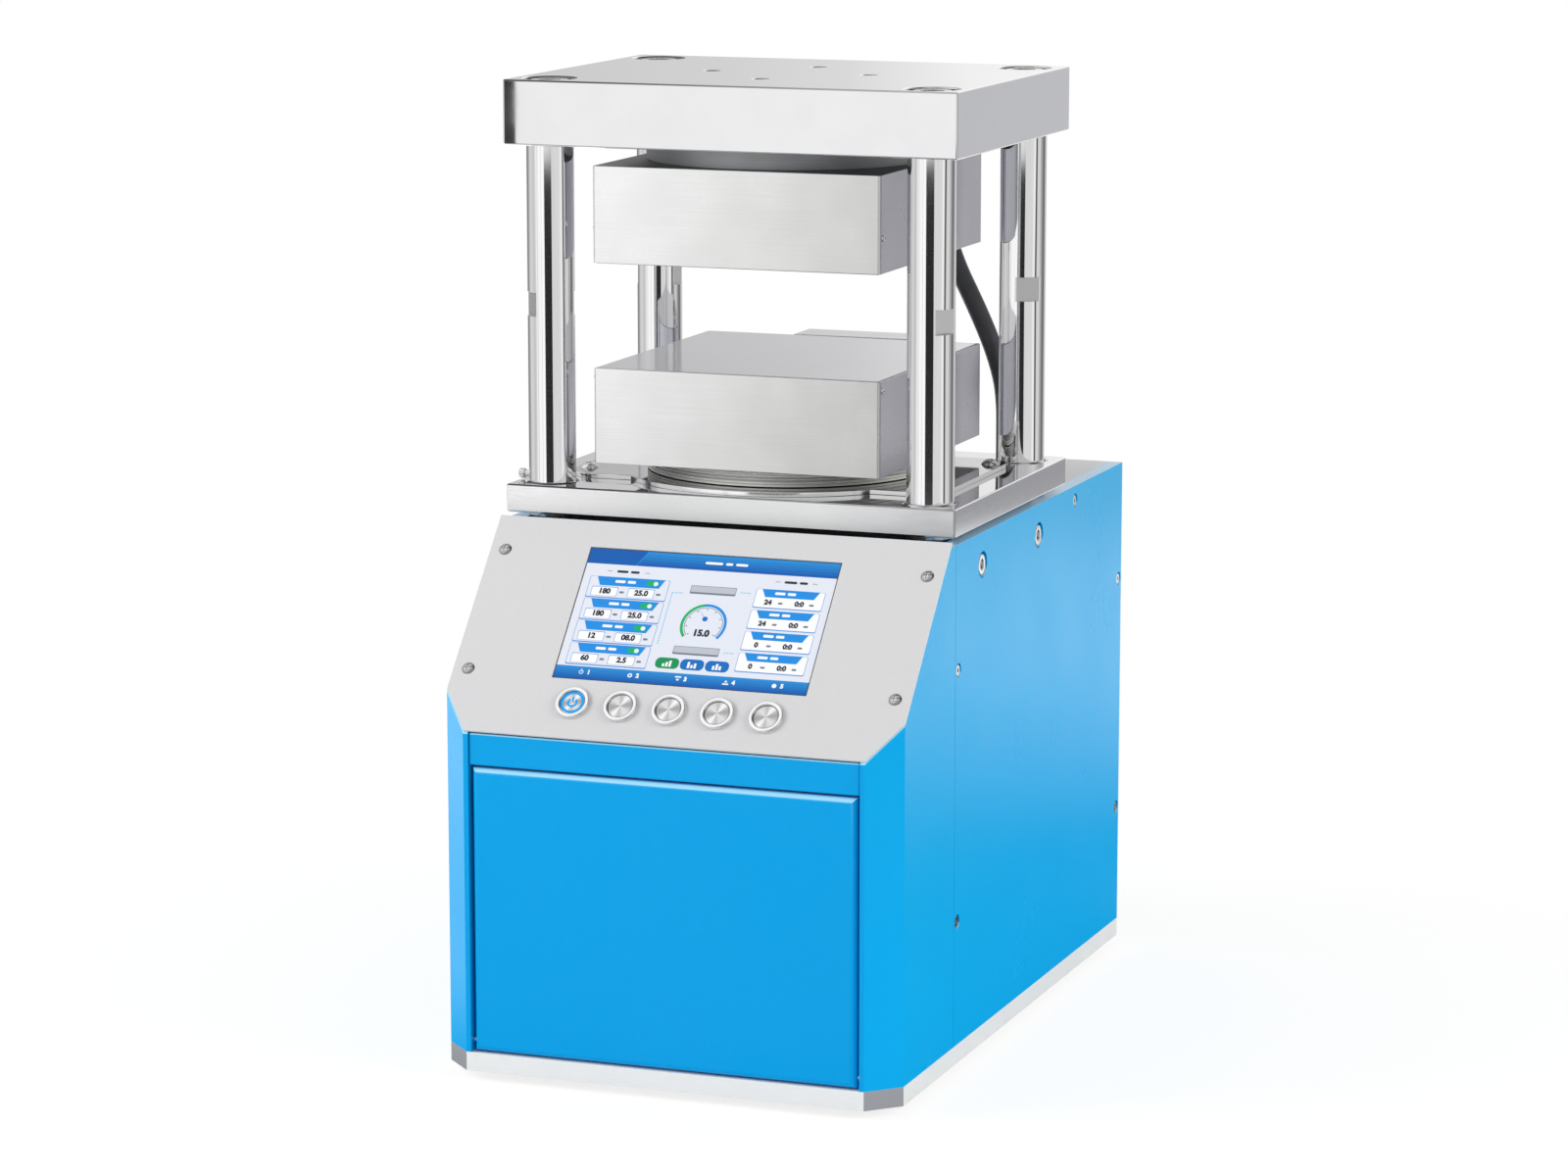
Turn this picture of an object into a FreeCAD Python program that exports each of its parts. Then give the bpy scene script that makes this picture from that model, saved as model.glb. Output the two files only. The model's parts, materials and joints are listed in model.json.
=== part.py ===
"""Laboratory hot press for rubber moulds, as a parametric FreeCAD document.

Frame: millimetres, +Z up, +X to the operator's right, the operator stands at -Y.
The origin is on the bench, under the middle of the cabinet.
The lower platen rides on a hydraulic ram, the upper platen hangs from the top plate.
"""

import FreeCAD, Part
import Sketcher
import math
import os
import re

Vector, Rotation, Placement = FreeCAD.Vector, FreeCAD.Rotation, FreeCAD.Placement

# Driving dimensions, in millimetres and degrees.
SIZES = {
    # cabinet
    "cab_width": 300.0,
    "cab_depth": 470.0,
    "foot_tall": 6.0,
    "foot_radius": 16.0,
    "foot_x": 112.0,
    "foot_y": 194.0,
    "stem_radius": 3.25,
    "bench_x": 70.0,
    "bench_radius": 4.25,
    "floor_thick": 12.0,
    "wall_thick": 10.0,
    "wall_top": 336.0,
    "seam_gap": 0.4,
    "rear_inset": 2.0,
    "lid_thick": 3.0,
    "lid_front": 99.0,
    "lid_flange": 15.0,
    # taps, clearance holes and counterbores
    "tap_m4": 2.05,
    "tap_m5": 2.55,
    "tap_m6": 3.05,
    "tap_m8": 4.05,
    "tap_m10": 5.05,
    "tap_deep": 8.0,
    "hole_m4": 2.3,
    "hole_m5": 2.8,
    "hole_m6": 3.3,
    "hole_m8": 4.5,
    "hole_m10": 5.3,
    "side_pocket_m8": 8.5,
    "side_sunk_m8": 5.5,
    "side_pocket_m4": 4.6,
    "side_sunk_m4": 3.5,
    # front cheeks, header and door
    "corner_cut": 19.0,
    "cheek_deep": 113.5,
    "cheek_wide": 22.0,
    "cheek_rim": 14.0,
    "tongue_deep": 16.5,
    "tongue_top": 300.0,
    "header_low": 200.5,
    "header_high": 220.6,
    "header_thick": 12.0,
    "header_inset": 1.0,
    "door_wide": 251.6,
    "door_low": 19.0,
    "door_high": 199.0,
    "door_thick": 20.0,
    "door_skin": 3.0,
    "door_round": 4.5,
    "door_lug": 14.0,
    "door_lip": 30.0,
    "hinge_inset": 6.0,
    "hinge_radius": 2.0,
    # sloped control panel, measured along the slope from its lower edge
    "panel_low": 222.3,
    "panel_long": 157.3,
    "panel_slope": 47.9,
    "panel_thick": 1.5,
    "screen_wide": 167.0,
    "screen_tall": 96.0,
    "screen_mid": 90.0,
    "screen_gap": 0.3,
    "glass_thick": 1.6,
    "glass_sunk": 0.6,
    "display_wide": 190.0,
    "display_low": 38.0,
    "display_high": 145.0,
    "display_deep": 30.0,
    "display_rim": 8.0,
    "panel_screw_x": 140.0,
    "panel_screw_low": 44.0,
    "panel_screw_high": 132.0,
    "button_row": 24.7,
    "button_pitch": 31.65,
    "button_shift": -1.1,
    "bezel_radius": 11.0,
    "bezel_tall": 2.2,
    "bezel_round": 0.6,
    "barrel_radius": 9.4,
    "barrel_long": 30.0,
    "well_deep": 20.0,
    "cap_radius": 8.0,
    "cap_long": 11.0,
    "cap_proud": 1.9,
    "cap_chamfer": 0.6,
    # side screws
    "side_bolt_z": 315.4,
    "side_bolt_front": -68.5,
    "side_bolt_rear": 47.8,
    "side_low_z": 97.5,
    "side_high_z": 256.7,
    "side_front_y": -115.0,
    "side_rear_y": 229.0,
    "side_lid_y": 126.8,
    "side_lid_z": 326.2,
    # press frame
    "press_y": -9.5,
    "plate_y": -8.0,
    "plate_wide": 299.0,
    "plate_deep": 229.0,
    "deck_low": 340.0,
    "deck_thick": 18.0,
    "top_low": 572.0,
    "top_thick": 41.0,
    "column_x": 126.4,
    "column_dy": 92.0,
    "column_radius": 15.0,
    "column_sunk": 8.0,
    "column_rise": 6.0,
    "flat_low": 463.8,
    "flat_tall": 15.4,
    "flat_half": 12.5,
    "screw_radius": 8.0,
    "screw_grip": 30.0,
    "washer_radius": 15.0,
    "washer_thick": 3.0,
    "head_pocket": 17.0,
    "head_depth": 20.0,
    "rim_wide": 1.4,
    "rim_deep": 0.8,
    "spacer_pcd": 106.0,
    "spacer_pocket": 4.9,
    "spacer_sunk": 6.0,
    # ram, cylinder and guide plate
    "ram_radius": 50.0,
    "ram_low": 256.0,
    "block_low": 290.0,
    "block_front": -80.0,
    "block_deep": 141.0,
    "barrel_low": 244.0,
    "bore_low": 253.0,
    "boss_radius": 70.0,
    "cylinder_pcd": 132.0,
    "cylinder_pocket": 8.5,
    "cylinder_sunk": 11.0,
    "cylinder_tap_deep": 26.0,
    "port_radius": 2.5,
    "guide_thick": 3.0,
    "guide_wide": 255.0,
    "guide_deep": 147.0,
    "guide_corner": 20.0,
    "guide_disc": 109.0,
    "guide_screw_x": 118.7,
    "guide_screw_dy": 50.7,
    "guide_tap_deep": 14.0,
    # platens
    "platen_wide": 190.6,
    "platen_front": -107.8,
    "platen_rear": 91.4,
    "platen_round": 2.0,
    "cover_thick": 1.2,
    "cover_back": 0.4,
    "block_side_gap": 0.4,
    "block_rear_gap": 3.0,
    "block_thick": 30.0,
    "upper_low": 498.3,
    "upper_high": 559.5,
    "lower_low": 372.0,
    "lower_high": 432.6,
    "spacer_radius": 91.5,
    "lower_spacer_low": 361.5,
    "heater_radius": 5.0,
    "heater_long": 150.0,
    "heater_pitch": 48.0,
    "term_wide": 95.0,
    "term_deep": 30.0,
    "term_tall": 28.0,
    "term_upper_x": -13.0,
    "term_lower_x": -35.0,
    "term_margin": 10.0,
    # heater cable and its glands
    "cable_radius": 6.2,
    "gland_radius": 10.0,
    "upper_gland_x": 66.0,
    "upper_gland_y": 107.0,
    "upper_gland_tall": 8.0,
    "lid_gland_x": 99.9,
    "lid_gland_y": 131.0,
    "lid_gland_tall": 17.0,
    "lid_gland_base": 6.0,
    "lid_gland_hole": 8.0,
    # inside the cabinet
    "fan_x": -75.0,
    "fan_z": 110.0,
    "fan_wide": 80.0,
    "fan_deep": 25.0,
    "fan_bore": 38.0,
    "fan_hub": 16.0,
    "fan_spoke": 5.0,
    "fan_back": 3.0,
    "fan_axle": 2.0,
    "rotor_tall": 16.0,
    "vent_radius": 4.5,
    "vent_inner_pcd": 54.0,
    "vent_outer_pcd": 104.0,
    "inlet_x": 75.0,
    "inlet_z": 80.0,
    "inlet_wide": 50.0,
    "inlet_tall": 62.0,
    "inlet_lip": 4.0,
    "inlet_deep": 22.0,
    "socket_wide": 24.0,
    "socket_tall": 16.0,
    "socket_deep": 17.0,
    "socket_low": 8.0,
    "tank_x": -125.0,
    "tank_y": -20.0,
    "tank_wide": 100.0,
    "tank_deep": 150.0,
    "tank_tall": 100.0,
    "tank_wall": 3.0,
    "tank_cap": 25.0,
    "motor_x": 72.0,
    "motor_z": 62.0,
    "motor_y": 40.0,
    "motor_radius": 37.0,
    "motor_long": 130.0,
    "motor_end": 12.0,
    "valve_wide": 70.0,
    "valve_deep": 55.0,
    "valve_tall": 82.0,
    "coil_radius": 11.0,
    "coil_tall": 30.0,
    "coil_x": 20.0,
    "pipe_radius": 4.0,
    "box_y": -178.0,
    "strip_deep": 8.0,
    "strip_tall": 12.0,
    "controller_x": -118.0,
    "controller_wide": 90.0,
    "controller_deep": 42.0,
    "controller_tall": 100.0,
    "supply_x": 14.0,
    "supply_wide": 98.0,
    "supply_deep": 38.0,
    "supply_tall": 112.0,
}

# Fasteners: head radius, head height, shank radius, shank length and key width.
SIDE_BOLT = (6.7, 5.0, 4.0, 24.0, 6.0)
SIDE_SCREW = (3.4, 3.0, 2.0, 12.0, 2.5)
PANEL_SCREW = (4.2, 1.3, 2.0, 9.0, None)
GUIDE_SCREW = (6.0, 3.6, 3.0, 15.0, 4.0)
CYLINDER_BOLT = (8.0, 10.0, 5.0, 30.0, 8.0)
COLUMN_SCREW = (12.0, 16.0, "screw_radius - 0.05", 38.0, 14.0)
SPACER_SCREW = (4.25, 5.0, 2.5, "top_thick - spacer_sunk + 11", 4.0)

doc = FreeCAD.newDocument("HotPress")
sheet = doc.addObject("Spreadsheet::Sheet", "Sizes")
for row, (alias, value) in enumerate(SIZES.items(), start=1):
    sheet.set(f"A{row}", alias)
    sheet.set(f"B{row}", str(value))
    sheet.setAlias(f"B{row}", alias)
doc.recompute()

nodes = []


# ---------------------------------------------------------------- helpers
def ref(formula):
    """Points the words of a formula that name a driving dimension at the sheet."""
    return re.sub(
        r"[a-z]\w*",
        lambda word: "Sizes." + word.group() if word.group() in SIZES else word.group(),
        str(formula),
    )


def bind(thing, **formulas):
    """Binds properties to formulas of the sheet's dimensions."""
    for name, formula in formulas.items():
        thing.setExpression(name, ref(formula))
    return thing


def place(thing, x=0, y=0, z=0, turn=None):
    """Puts a thing at a bound position, turned by a fixed rotation."""
    thing.Placement = Placement(Vector(), turn or Rotation())
    for axis, formula in zip("xyz", (x, y, z)):
        thing.setExpression("Placement.Base." + axis, ref(formula))
    return thing


def on_panel(thing, x, along, out):
    """Puts a thing on the sloped panel: along the slope, and out from its face."""
    place(
        thing,
        x,
        f"-cab_depth / 2 + ({along}) * cos(panel_slope) - ({out}) * sin(panel_slope)",
        f"panel_low + ({along}) * sin(panel_slope) + ({out}) * cos(panel_slope)",
        Rotation(Vector(1, 0, 0), SIZES["panel_slope"]),
    )
    thing.setExpression("Placement.Rotation.Angle", ref("panel_slope"))
    return thing


def node(thing, name):
    """Names a finished sub-part and lists it for export."""
    thing.Label = name
    nodes.append(thing)
    return thing


def box(name, size, corner):
    thing = doc.addObject("Part::Box", name)
    bind(thing, Length=size[0], Width=size[1], Height=size[2])
    return place(thing, *corner)


def rod(name, radius, length, at, turn=None):
    thing = doc.addObject("Part::Cylinder", name)
    bind(thing, Radius=radius, Height=length)
    return place(thing, *at, turn)


def cone(name, low_radius, high_radius, length, at):
    thing = doc.addObject("Part::Cone", name)
    bind(thing, Radius1=low_radius, Radius2=high_radius, Height=length)
    return place(thing, *at)


def hexagon(name, across_flats, length, at):
    thing = doc.addObject("Part::Prism", name)
    thing.Polygon = 6
    bind(thing, Circumradius=f"({across_flats}) / sqrt(3)", Height=length)
    return place(thing, *at)


def fuse(name, *pieces):
    thing = doc.addObject("Part::MultiFuse", name)
    thing.Shapes = list(pieces)
    return thing


def cut(name, base, *tools):
    thing = doc.addObject("Part::Cut", name)
    thing.Base = base
    thing.Tool = tools[0] if len(tools) == 1 else fuse(name + "_tools", *tools)
    return thing


def group(name, pieces):
    """Separate solids that share one node."""
    thing = doc.addObject("Part::Compound", name)
    thing.Links = pieces
    return node(thing, name)


def mirrored(name, source):
    """The left hand twin of a right hand sub-part."""
    thing = doc.addObject("Part::Mirroring", name)
    thing.Source = source
    thing.Normal = Vector(1, 0, 0)
    return node(thing, name)


class Solid:
    """A PartDesign body whose sketches are bound to the sheet."""

    def __init__(self, name):
        self.body = doc.addObject("PartDesign::Body", name)
        self.name = name

    def sketch(self, plane, outlines=(), circles=(), offset=0):
        """A sketch of closed polygons and circles on an origin plane, moved along its normal."""
        sketch = self.body.newObject("Sketcher::SketchObject", self.name + "_sketch")
        support = next(f for f in self.body.Origin.OriginFeatures if f.Role == plane)
        sketch.AttachmentSupport = [(support, "")]
        sketch.MapMode = "FlatFace"
        sketch.setExpression("AttachmentOffset.Base.z", ref(offset))
        for outline in outlines:
            self.polygon(sketch, outline)
        for circle in circles:
            self.circle(sketch, *circle)
        return sketch

    def locate(self, sketch, item, point, x, y):
        """Holds a sketch point at bound distances from the sketch's origin."""
        for kind, formula in (("DistanceX", x), ("DistanceY", y)):
            index = sketch.addConstraint(Sketcher.Constraint(kind, -1, 1, item, point, 1.0))
            sketch.renameConstraint(index, f"{kind}_{item}_{point}")
            sketch.setExpression(f"Constraints.{kind}_{item}_{point}", ref(formula))

    def polygon(self, sketch, points):
        count = len(points)
        ring = [Vector(math.cos(math.tau * i / count), math.sin(math.tau * i / count), 0)
                for i in range(count)]
        first = sketch.GeometryCount
        for i in range(count):
            sketch.addGeometry(Part.LineSegment(ring[i], ring[(i + 1) % count]), False)
        for i, (x, y) in enumerate(points):
            following = first + (i + 1) % count
            sketch.addConstraint(Sketcher.Constraint("Coincident", first + i, 2, following, 1))
            self.locate(sketch, first + i, 1, x, y)

    def circle(self, sketch, x, y, radius):
        item = sketch.addGeometry(Part.Circle(Vector(), Vector(0, 0, 1), 1.0), False)
        self.locate(sketch, item, 3, x, y)
        index = sketch.addConstraint(Sketcher.Constraint("Radius", item, 1.0))
        sketch.renameConstraint(index, f"Radius_{item}")
        sketch.setExpression(f"Constraints.Radius_{item}", ref(radius))

    def feature(self, kind, sketch, **formulas):
        thing = self.body.newObject("PartDesign::" + kind, self.name + "_" + kind.lower())
        thing.Profile = sketch
        return bind(thing, **formulas)

    def pad(self, sketch, length, reverse=False):
        thing = self.feature("Pad", sketch, Length=length)
        thing.Reversed = reverse
        return thing

    def pocket(self, sketch, length, reverse=False):
        """Cuts against the sketch's normal, or along it where reversed."""
        doc.recompute()
        before = self.body.Shape.Volume
        thing = self.feature("Pocket", sketch, Length=length)
        thing.Reversed = reverse
        doc.recompute()
        if self.body.Shape.Volume > before - 0.01:
            raise RuntimeError(self.name + " has a pocket that cuts nothing")
        return thing

    def revolve(self, sketch):
        """Turns a sketch on the XZ plane about its vertical axis."""
        thing = self.feature("Revolution", sketch)
        thing.ReferenceAxis = (sketch, ["V_Axis"])
        thing.Angle = 360.0
        return thing

    def round(self, radius, test):
        """Fillets the edges of the last feature that pass a test."""
        doc.recompute()
        base = self.body.Tip
        chosen = [f"Edge{i}" for i, edge in enumerate(base.Shape.Edges, start=1) if test(edge)]
        thing = self.body.newObject("PartDesign::Fillet", self.name + "_fillet")
        thing.Base = (base, chosen)
        return bind(thing, Radius=radius)

    def done(self, name=None):
        return node(self.body, name or self.name)


def rectangle(x_low, x_high, y_low, y_high):
    return [(x_low, y_low), (x_high, y_low), (x_high, y_high), (x_low, y_high)]


def is_upright(edge):
    """True for a straight edge along Z."""
    box_ = edge.BoundBox
    return box_.XLength < 0.01 and box_.YLength < 0.01 and box_.ZLength > 1.0


def is_along_x(edge):
    """True for a straight edge along X."""
    box_ = edge.BoundBox
    return box_.YLength < 0.01 and box_.ZLength < 0.01


def socket_screw(name, head_radius, head_tall, shank_radius, shank_long, key):
    """Cap screw with its seat at the origin, head up."""
    head = rod(name + "_head", head_radius, head_tall, (0, 0, 0))
    shank = rod(name + "_shank", shank_radius, shank_long, (0, 0, f"-({shank_long})"))
    socket = hexagon(name + "_socket", key, f"({head_tall}) / 2", (0, 0, f"({head_tall}) / 2"))
    return cut(name, fuse(name + "_blank", head, shank), socket)


def dome_screw(name, head_radius, head_tall, shank_radius, shank_long, key):
    """Button head screw with its seat at the origin, head up. It has a cross where no key fits."""
    dome = doc.addObject("Part::Sphere", name + "_dome")
    ball = f"(({head_radius})^2 + ({head_tall})^2) / (2 * ({head_tall}))"
    bind(dome, Radius=ball, Angle1=f"asin(({ball} - ({head_tall})) / ({ball}))")
    place(dome, 0, 0, f"({head_tall}) - {ball}")
    shank = rod(name + "_shank", shank_radius, shank_long, (0, 0, f"-({shank_long})"))
    if key:
        recess = [hexagon(name + "_socket", key, head_tall, (0, 0, f"({head_tall}) * 0.4"))]
    else:
        recess = cross_recess(name, head_radius, head_tall)
    return cut(name, fuse(name + "_blank", dome, shank), *recess)


def cross_recess(name, head_radius, head_tall, slot=1.1):
    """A Phillips cross in a pan head."""
    length, bottom = 1.1 * head_radius, 0.45 * head_tall
    return [
        box(name + "_bar_x", (length, slot, head_tall), (-length / 2, -slot / 2, bottom)),
        box(name + "_bar_y", (slot, length, head_tall), (-slot / 2, -length / 2, bottom)),
    ]


def rounded_path(points, name):
    """Straight runs joined by tangent arcs, each as large as its two runs allow."""
    edges, at, radii = [], points[0], []
    for before, corner, after in zip(points, points[1:], points[2:]):
        into, out = corner - before, after - corner
        turn = into.getAngle(out)
        reach = 0.45 * min(into.Length, out.Length)
        into.normalize()
        out.normalize()
        radius = reach / math.tan(turn / 2)
        start, end = corner - into * reach, corner + out * reach
        inward = out - into
        inward.normalize()
        middle = corner + inward * (radius / math.cos(turn / 2) - radius)
        edges += [Part.LineSegment(at, start).toShape(), Part.Arc(start, middle, end).toShape()]
        at = end
        radii.append(round(radius))
    edges.append(Part.LineSegment(at, points[-1]).toShape())
    print(name, "bend radii in mm:", radii)
    return Part.Wire(edges)


def tube(name, points, radius):
    """A solid round tube along a rounded path."""
    path = rounded_path([Vector(*p) for p in points], name)
    circle = Part.Circle(Vector(*points[0]), Vector(*points[1]) - Vector(*points[0]), radius)
    solid = path.makePipeShell([Part.Wire(circle.toShape())], True, False)
    expected = math.pi * radius**2 * path.Length
    if abs(solid.Volume / expected - 1) > 0.01:
        raise RuntimeError(name + " has the wrong volume")
    print(name, "is", round(path.Length), "mm long")
    thing = doc.addObject("Part::Feature", name)
    thing.Shape = solid
    thing.Placement = Placement()
    return node(thing, name)


# Formulas that several sub-parts share.
FRONT = "-cab_depth / 2"
BACK = "cab_depth / 2"
SIDE = "cab_width / 2"
INSIDE = "(cab_width / 2 - wall_thick)"
FLOOR = "foot_tall + floor_thick"
REAR_FACE = "(cab_depth / 2 - rear_inset)"
DECK_TOP = "(deck_low + deck_thick)"
TOP_TOP = "(top_low + top_thick)"
PLATEN_HALF = "platen_wide / 2"
BLOCK_HALF = "(platen_wide / 2 - cover_thick - block_side_gap)"
BLOCK_FRONT = "(platen_front + cover_thick + block_side_gap)"
BLOCK_REAR = "(platen_rear - cover_thick - block_rear_gap)"
SCREEN_MIDDLE = "(display_low + display_high) / 2"
PLATE_OUTLINE = rectangle("-plate_wide / 2", "plate_wide / 2",
                          "plate_y - plate_deep / 2", "plate_y + plate_deep / 2")
# Each column's side, end and the turn of its wrench flats.
COLUMNS = {
    "front_left": (-1, -1, -50.0),
    "front_right": (1, -1, 60.0),
    "rear_left": (-1, 1, 92.0),
    "rear_right": (1, 1, 33.0),
}


def column_places():
    """The column axes as formulas."""
    return [(f"{side} * column_x", f"press_y + ({end}) * column_dy")
            for side, end, _ in COLUMNS.values()]


def ring_places(pcd, count, start=0.0, mid_x="0", mid_y="press_y"):
    """Points on a circle as formulas."""
    angles = [start + 360.0 * i / count for i in range(count)]
    return [(f"{mid_x} + ({pcd}) / 2 * cos({a} deg)", f"{mid_y} + ({pcd}) / 2 * sin({a} deg)")
            for a in angles]


def guide_screw_places():
    return [(f"{side} * guide_screw_x", f"press_y + ({end}) * guide_screw_dy")
            for side in (-1, 1) for end in (-1, 1)]


# ---------------------------------------------------------------- cabinet
def bottom_plate():
    plate = Solid("bottom_plate")
    outline = [
        (f"-{SIDE}", BACK),
        (f"-{SIDE}", f"{FRONT} + corner_cut"),
        (f"-{SIDE} + corner_cut", FRONT),
        (f"{SIDE} - corner_cut", FRONT),
        (SIDE, f"{FRONT} + corner_cut"),
        (SIDE, BACK),
    ]
    corners = [(i, j) for i in (-1, 1) for j in (-1, 1)]
    holes = [(f"{i} * foot_x", f"{j} * foot_y", "stem_radius + 0.05") for i, j in corners]
    holes += [(f"{i} * bench_x", f"{j} * foot_y", "bench_radius") for i, j in corners]
    plate.pad(plate.sketch("XY_Plane", [outline], holes, "foot_tall"), "floor_thick")
    plate.done()


def rubber_feet():
    """Round feet with a moulded stem that plugs into the bottom plate."""
    feet = []
    for i in (-1, 1):
        for j in (-1, 1):
            name = f"foot_{len(feet)}"
            at = (f"{i} * foot_x", f"{j} * foot_y", 0)
            block = cone(name + "_block", "foot_radius - 2", "foot_radius", "foot_tall", at)
            stem = rod(name + "_stem", "stem_radius", "foot_tall + floor_thick - 2", at)
            recess = rod(name + "_recess", 6.0, 3.0, at)
            feet.append(cut(name, fuse(name + "_blank", block, stem), recess))
    group("rubber_feet", feet)


def slope_line(y, below):
    """Height on a line parallel to the panel's face, a distance below it."""
    return f"panel_low + ({y} + cab_depth / 2) * tan(panel_slope) - ({below}) / cos(panel_slope)"


def slope_reach(height, below):
    """The y at which that line has a height."""
    return (f"{FRONT} + ({height} - panel_low + ({below}) / cos(panel_slope))"
            " / tan(panel_slope)")


def front_cheeks():
    cheek = Solid("cheek_blank")
    seam = f"{FRONT} + cheek_deep"
    inner_x = f"{SIDE} - cheek_wide"
    upper = [
        (seam, "wall_top"),
        (slope_reach("wall_top", "panel_thick"), "wall_top"),
        (FRONT, slope_line(FRONT, "panel_thick")),
    ]
    tongue = f"{seam} + tongue_deep"
    inner_outline = [(FRONT, FLOOR), (tongue, FLOOR), (tongue, "tongue_top"),
                     (seam, "tongue_top"), *upper]
    inner = cheek.sketch("YZ_Plane", [inner_outline], offset=inner_x)
    cheek.pad(inner, "cheek_wide - wall_thick")
    outer_outline = [(FRONT, FLOOR), (seam, FLOOR), *upper]
    outer = cheek.sketch("YZ_Plane", [outer_outline], offset=INSIDE)
    cheek.pad(outer, "wall_thick")
    corner = [
        (f"{SIDE} - corner_cut - 1", f"{FRONT} - 1"),
        (f"{SIDE} + 1", f"{FRONT} - 1"),
        (f"{SIDE} + 1", f"{FRONT} + corner_cut + 1"),
    ]
    cheek.pocket(cheek.sketch("XY_Plane", [corner], offset="wall_top + 1"), "wall_top")
    front_y = f"{FRONT} + cheek_rim + 10"
    rear_y = f"{seam} - cheek_rim"
    window = [
        (front_y, f"{FLOOR} + cheek_rim"),
        (rear_y, f"{FLOOR} + cheek_rim"),
        (rear_y, slope_line(rear_y, "cheek_rim + 2")),
        (front_y, slope_line(front_y, "cheek_rim + 2")),
    ]
    relief = cheek.sketch("YZ_Plane", [window], offset=inner_x)
    cheek.pocket(relief, "cheek_wide - wall_thick", reverse=True)
    pin = (f"{FRONT} + hinge_inset", "door_low + hinge_inset", "hinge_radius + 0.03")
    cheek.pocket(cheek.sketch("YZ_Plane", circles=[pin], offset=inner_x), 5.0, reverse=True)
    for z in ("side_low_z", "side_high_z"):
        thread = cheek.sketch("YZ_Plane", circles=[("side_front_y", z, "tap_m4")], offset=INSIDE)
        cheek.pocket(thread, "tap_deep")
    taps = []
    for along in ("panel_screw_low", "panel_screw_high"):
        tap = rod(f"{along}_tap", "tap_m4", "panel_thick + tap_deep", (0, 0, 0))
        taps.append(on_panel(tap, "panel_screw_x", along, "-panel_thick - tap_deep"))
    right = node(cut("front_cheek_right", cheek.body, *taps), "front_cheek_right")
    mirrored("front_cheek_left", right)


def front_header():
    half = f"({SIDE} - cheek_wide - 0.2)"
    strip = Solid("front_header")
    outline = rectangle(f"-{half}", half, "header_low", "header_high")
    face = strip.sketch("XZ_Plane", [outline], offset=f"-({FRONT} + header_inset + header_thick)")
    strip.pad(face, "header_thick")
    front = SIZES["header_inset"] - SIZES["cab_depth"] / 2
    strip.round(1.2, lambda edge: is_along_x(edge) and edge.BoundBox.YMax < front + 0.01)
    strip.done()


def front_door():
    """Folded pan with return lips, hinged on two pins in its lower corners."""
    door = Solid("front_door")
    half = "door_wide / 2"
    back = f"-({FRONT} + door_thick)"
    outline = rectangle(f"-{half}", half, "door_low", "door_high")
    door.pad(door.sketch("XZ_Plane", [outline], offset=back), "door_thick")
    front = -SIZES["cab_depth"] / 2
    door.round("door_round", lambda edge: edge.BoundBox.YMax < front + 0.01)
    inner = "(door_wide / 2 - door_skin)"
    lug = f"({inner} - door_lug)"
    low, high = "door_low + door_skin", "door_high - door_skin"
    shelf = f"{low} + door_lug"
    mouth = rectangle(f"-{inner} + door_lip", f"{inner} - door_lip",
                      f"{low} + door_lip", f"{high} - door_lip")
    door.pocket(door.sketch("XZ_Plane", [mouth], offset=back), "door_skin + 1", reverse=True)
    hollow = [
        (f"-{lug}", low), (lug, low), (lug, shelf), (inner, shelf),
        (inner, high), (f"-{inner}", high), (f"-{inner}", shelf), (f"-{lug}", shelf),
    ]
    door.pocket(door.sketch("XZ_Plane", [hollow], offset=f"{back} + door_skin"),
                "door_thick - 2 * door_skin", reverse=True)
    bore = (f"{FRONT} + hinge_inset", "door_low + hinge_inset", "hinge_radius + 0.06")
    door.pocket(door.sketch("YZ_Plane", circles=[bore], offset=SIDE), "cab_width")
    door.done()


def door_hinge_pins():
    pins = []
    start = f"({SIDE} - cheek_wide - door_lug - 1)"
    length = "door_lug + 5.9"
    for name, corner in (("right_pin", start), ("left_pin", f"-{start} - ({length})")):
        at = (corner, f"{FRONT} + hinge_inset", "door_low + hinge_inset")
        pins.append(rod(name, "hinge_radius", length, at, Rotation(Vector(0, 1, 0), 90)))
    group("door_hinge_pins", pins)


def side_small_places():
    """The small side screws, as y and z."""
    return [("side_front_y", "side_low_z"), ("side_front_y", "side_high_z"),
            ("side_rear_y", "side_low_z"), ("side_rear_y", "side_high_z"),
            ("side_lid_y", "side_lid_z")]


def side_large_places():
    return [("side_bolt_front", "side_bolt_z"), ("side_bolt_rear", "side_bolt_z")]


def side_panels():
    panel = Solid("side_panel_right")
    outline = rectangle(f"{FRONT} + cheek_deep + seam_gap", BACK, FLOOR, "wall_top")
    holes = [(y, z, "hole_m8") for y, z in side_large_places()]
    holes += [(y, z, "hole_m4") for y, z in side_small_places()]
    panel.pad(panel.sketch("YZ_Plane", [outline], holes, INSIDE), "wall_thick")
    large = [(y, z, "side_pocket_m8") for y, z in side_large_places()]
    panel.pocket(panel.sketch("YZ_Plane", circles=large, offset=SIDE), "side_sunk_m8")
    small = [(y, z, "side_pocket_m4") for y, z in side_small_places()]
    panel.pocket(panel.sketch("YZ_Plane", circles=small, offset=SIDE), "side_sunk_m4")
    panel.done()
    mirrored("side_panel_left", panel.body)


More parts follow.
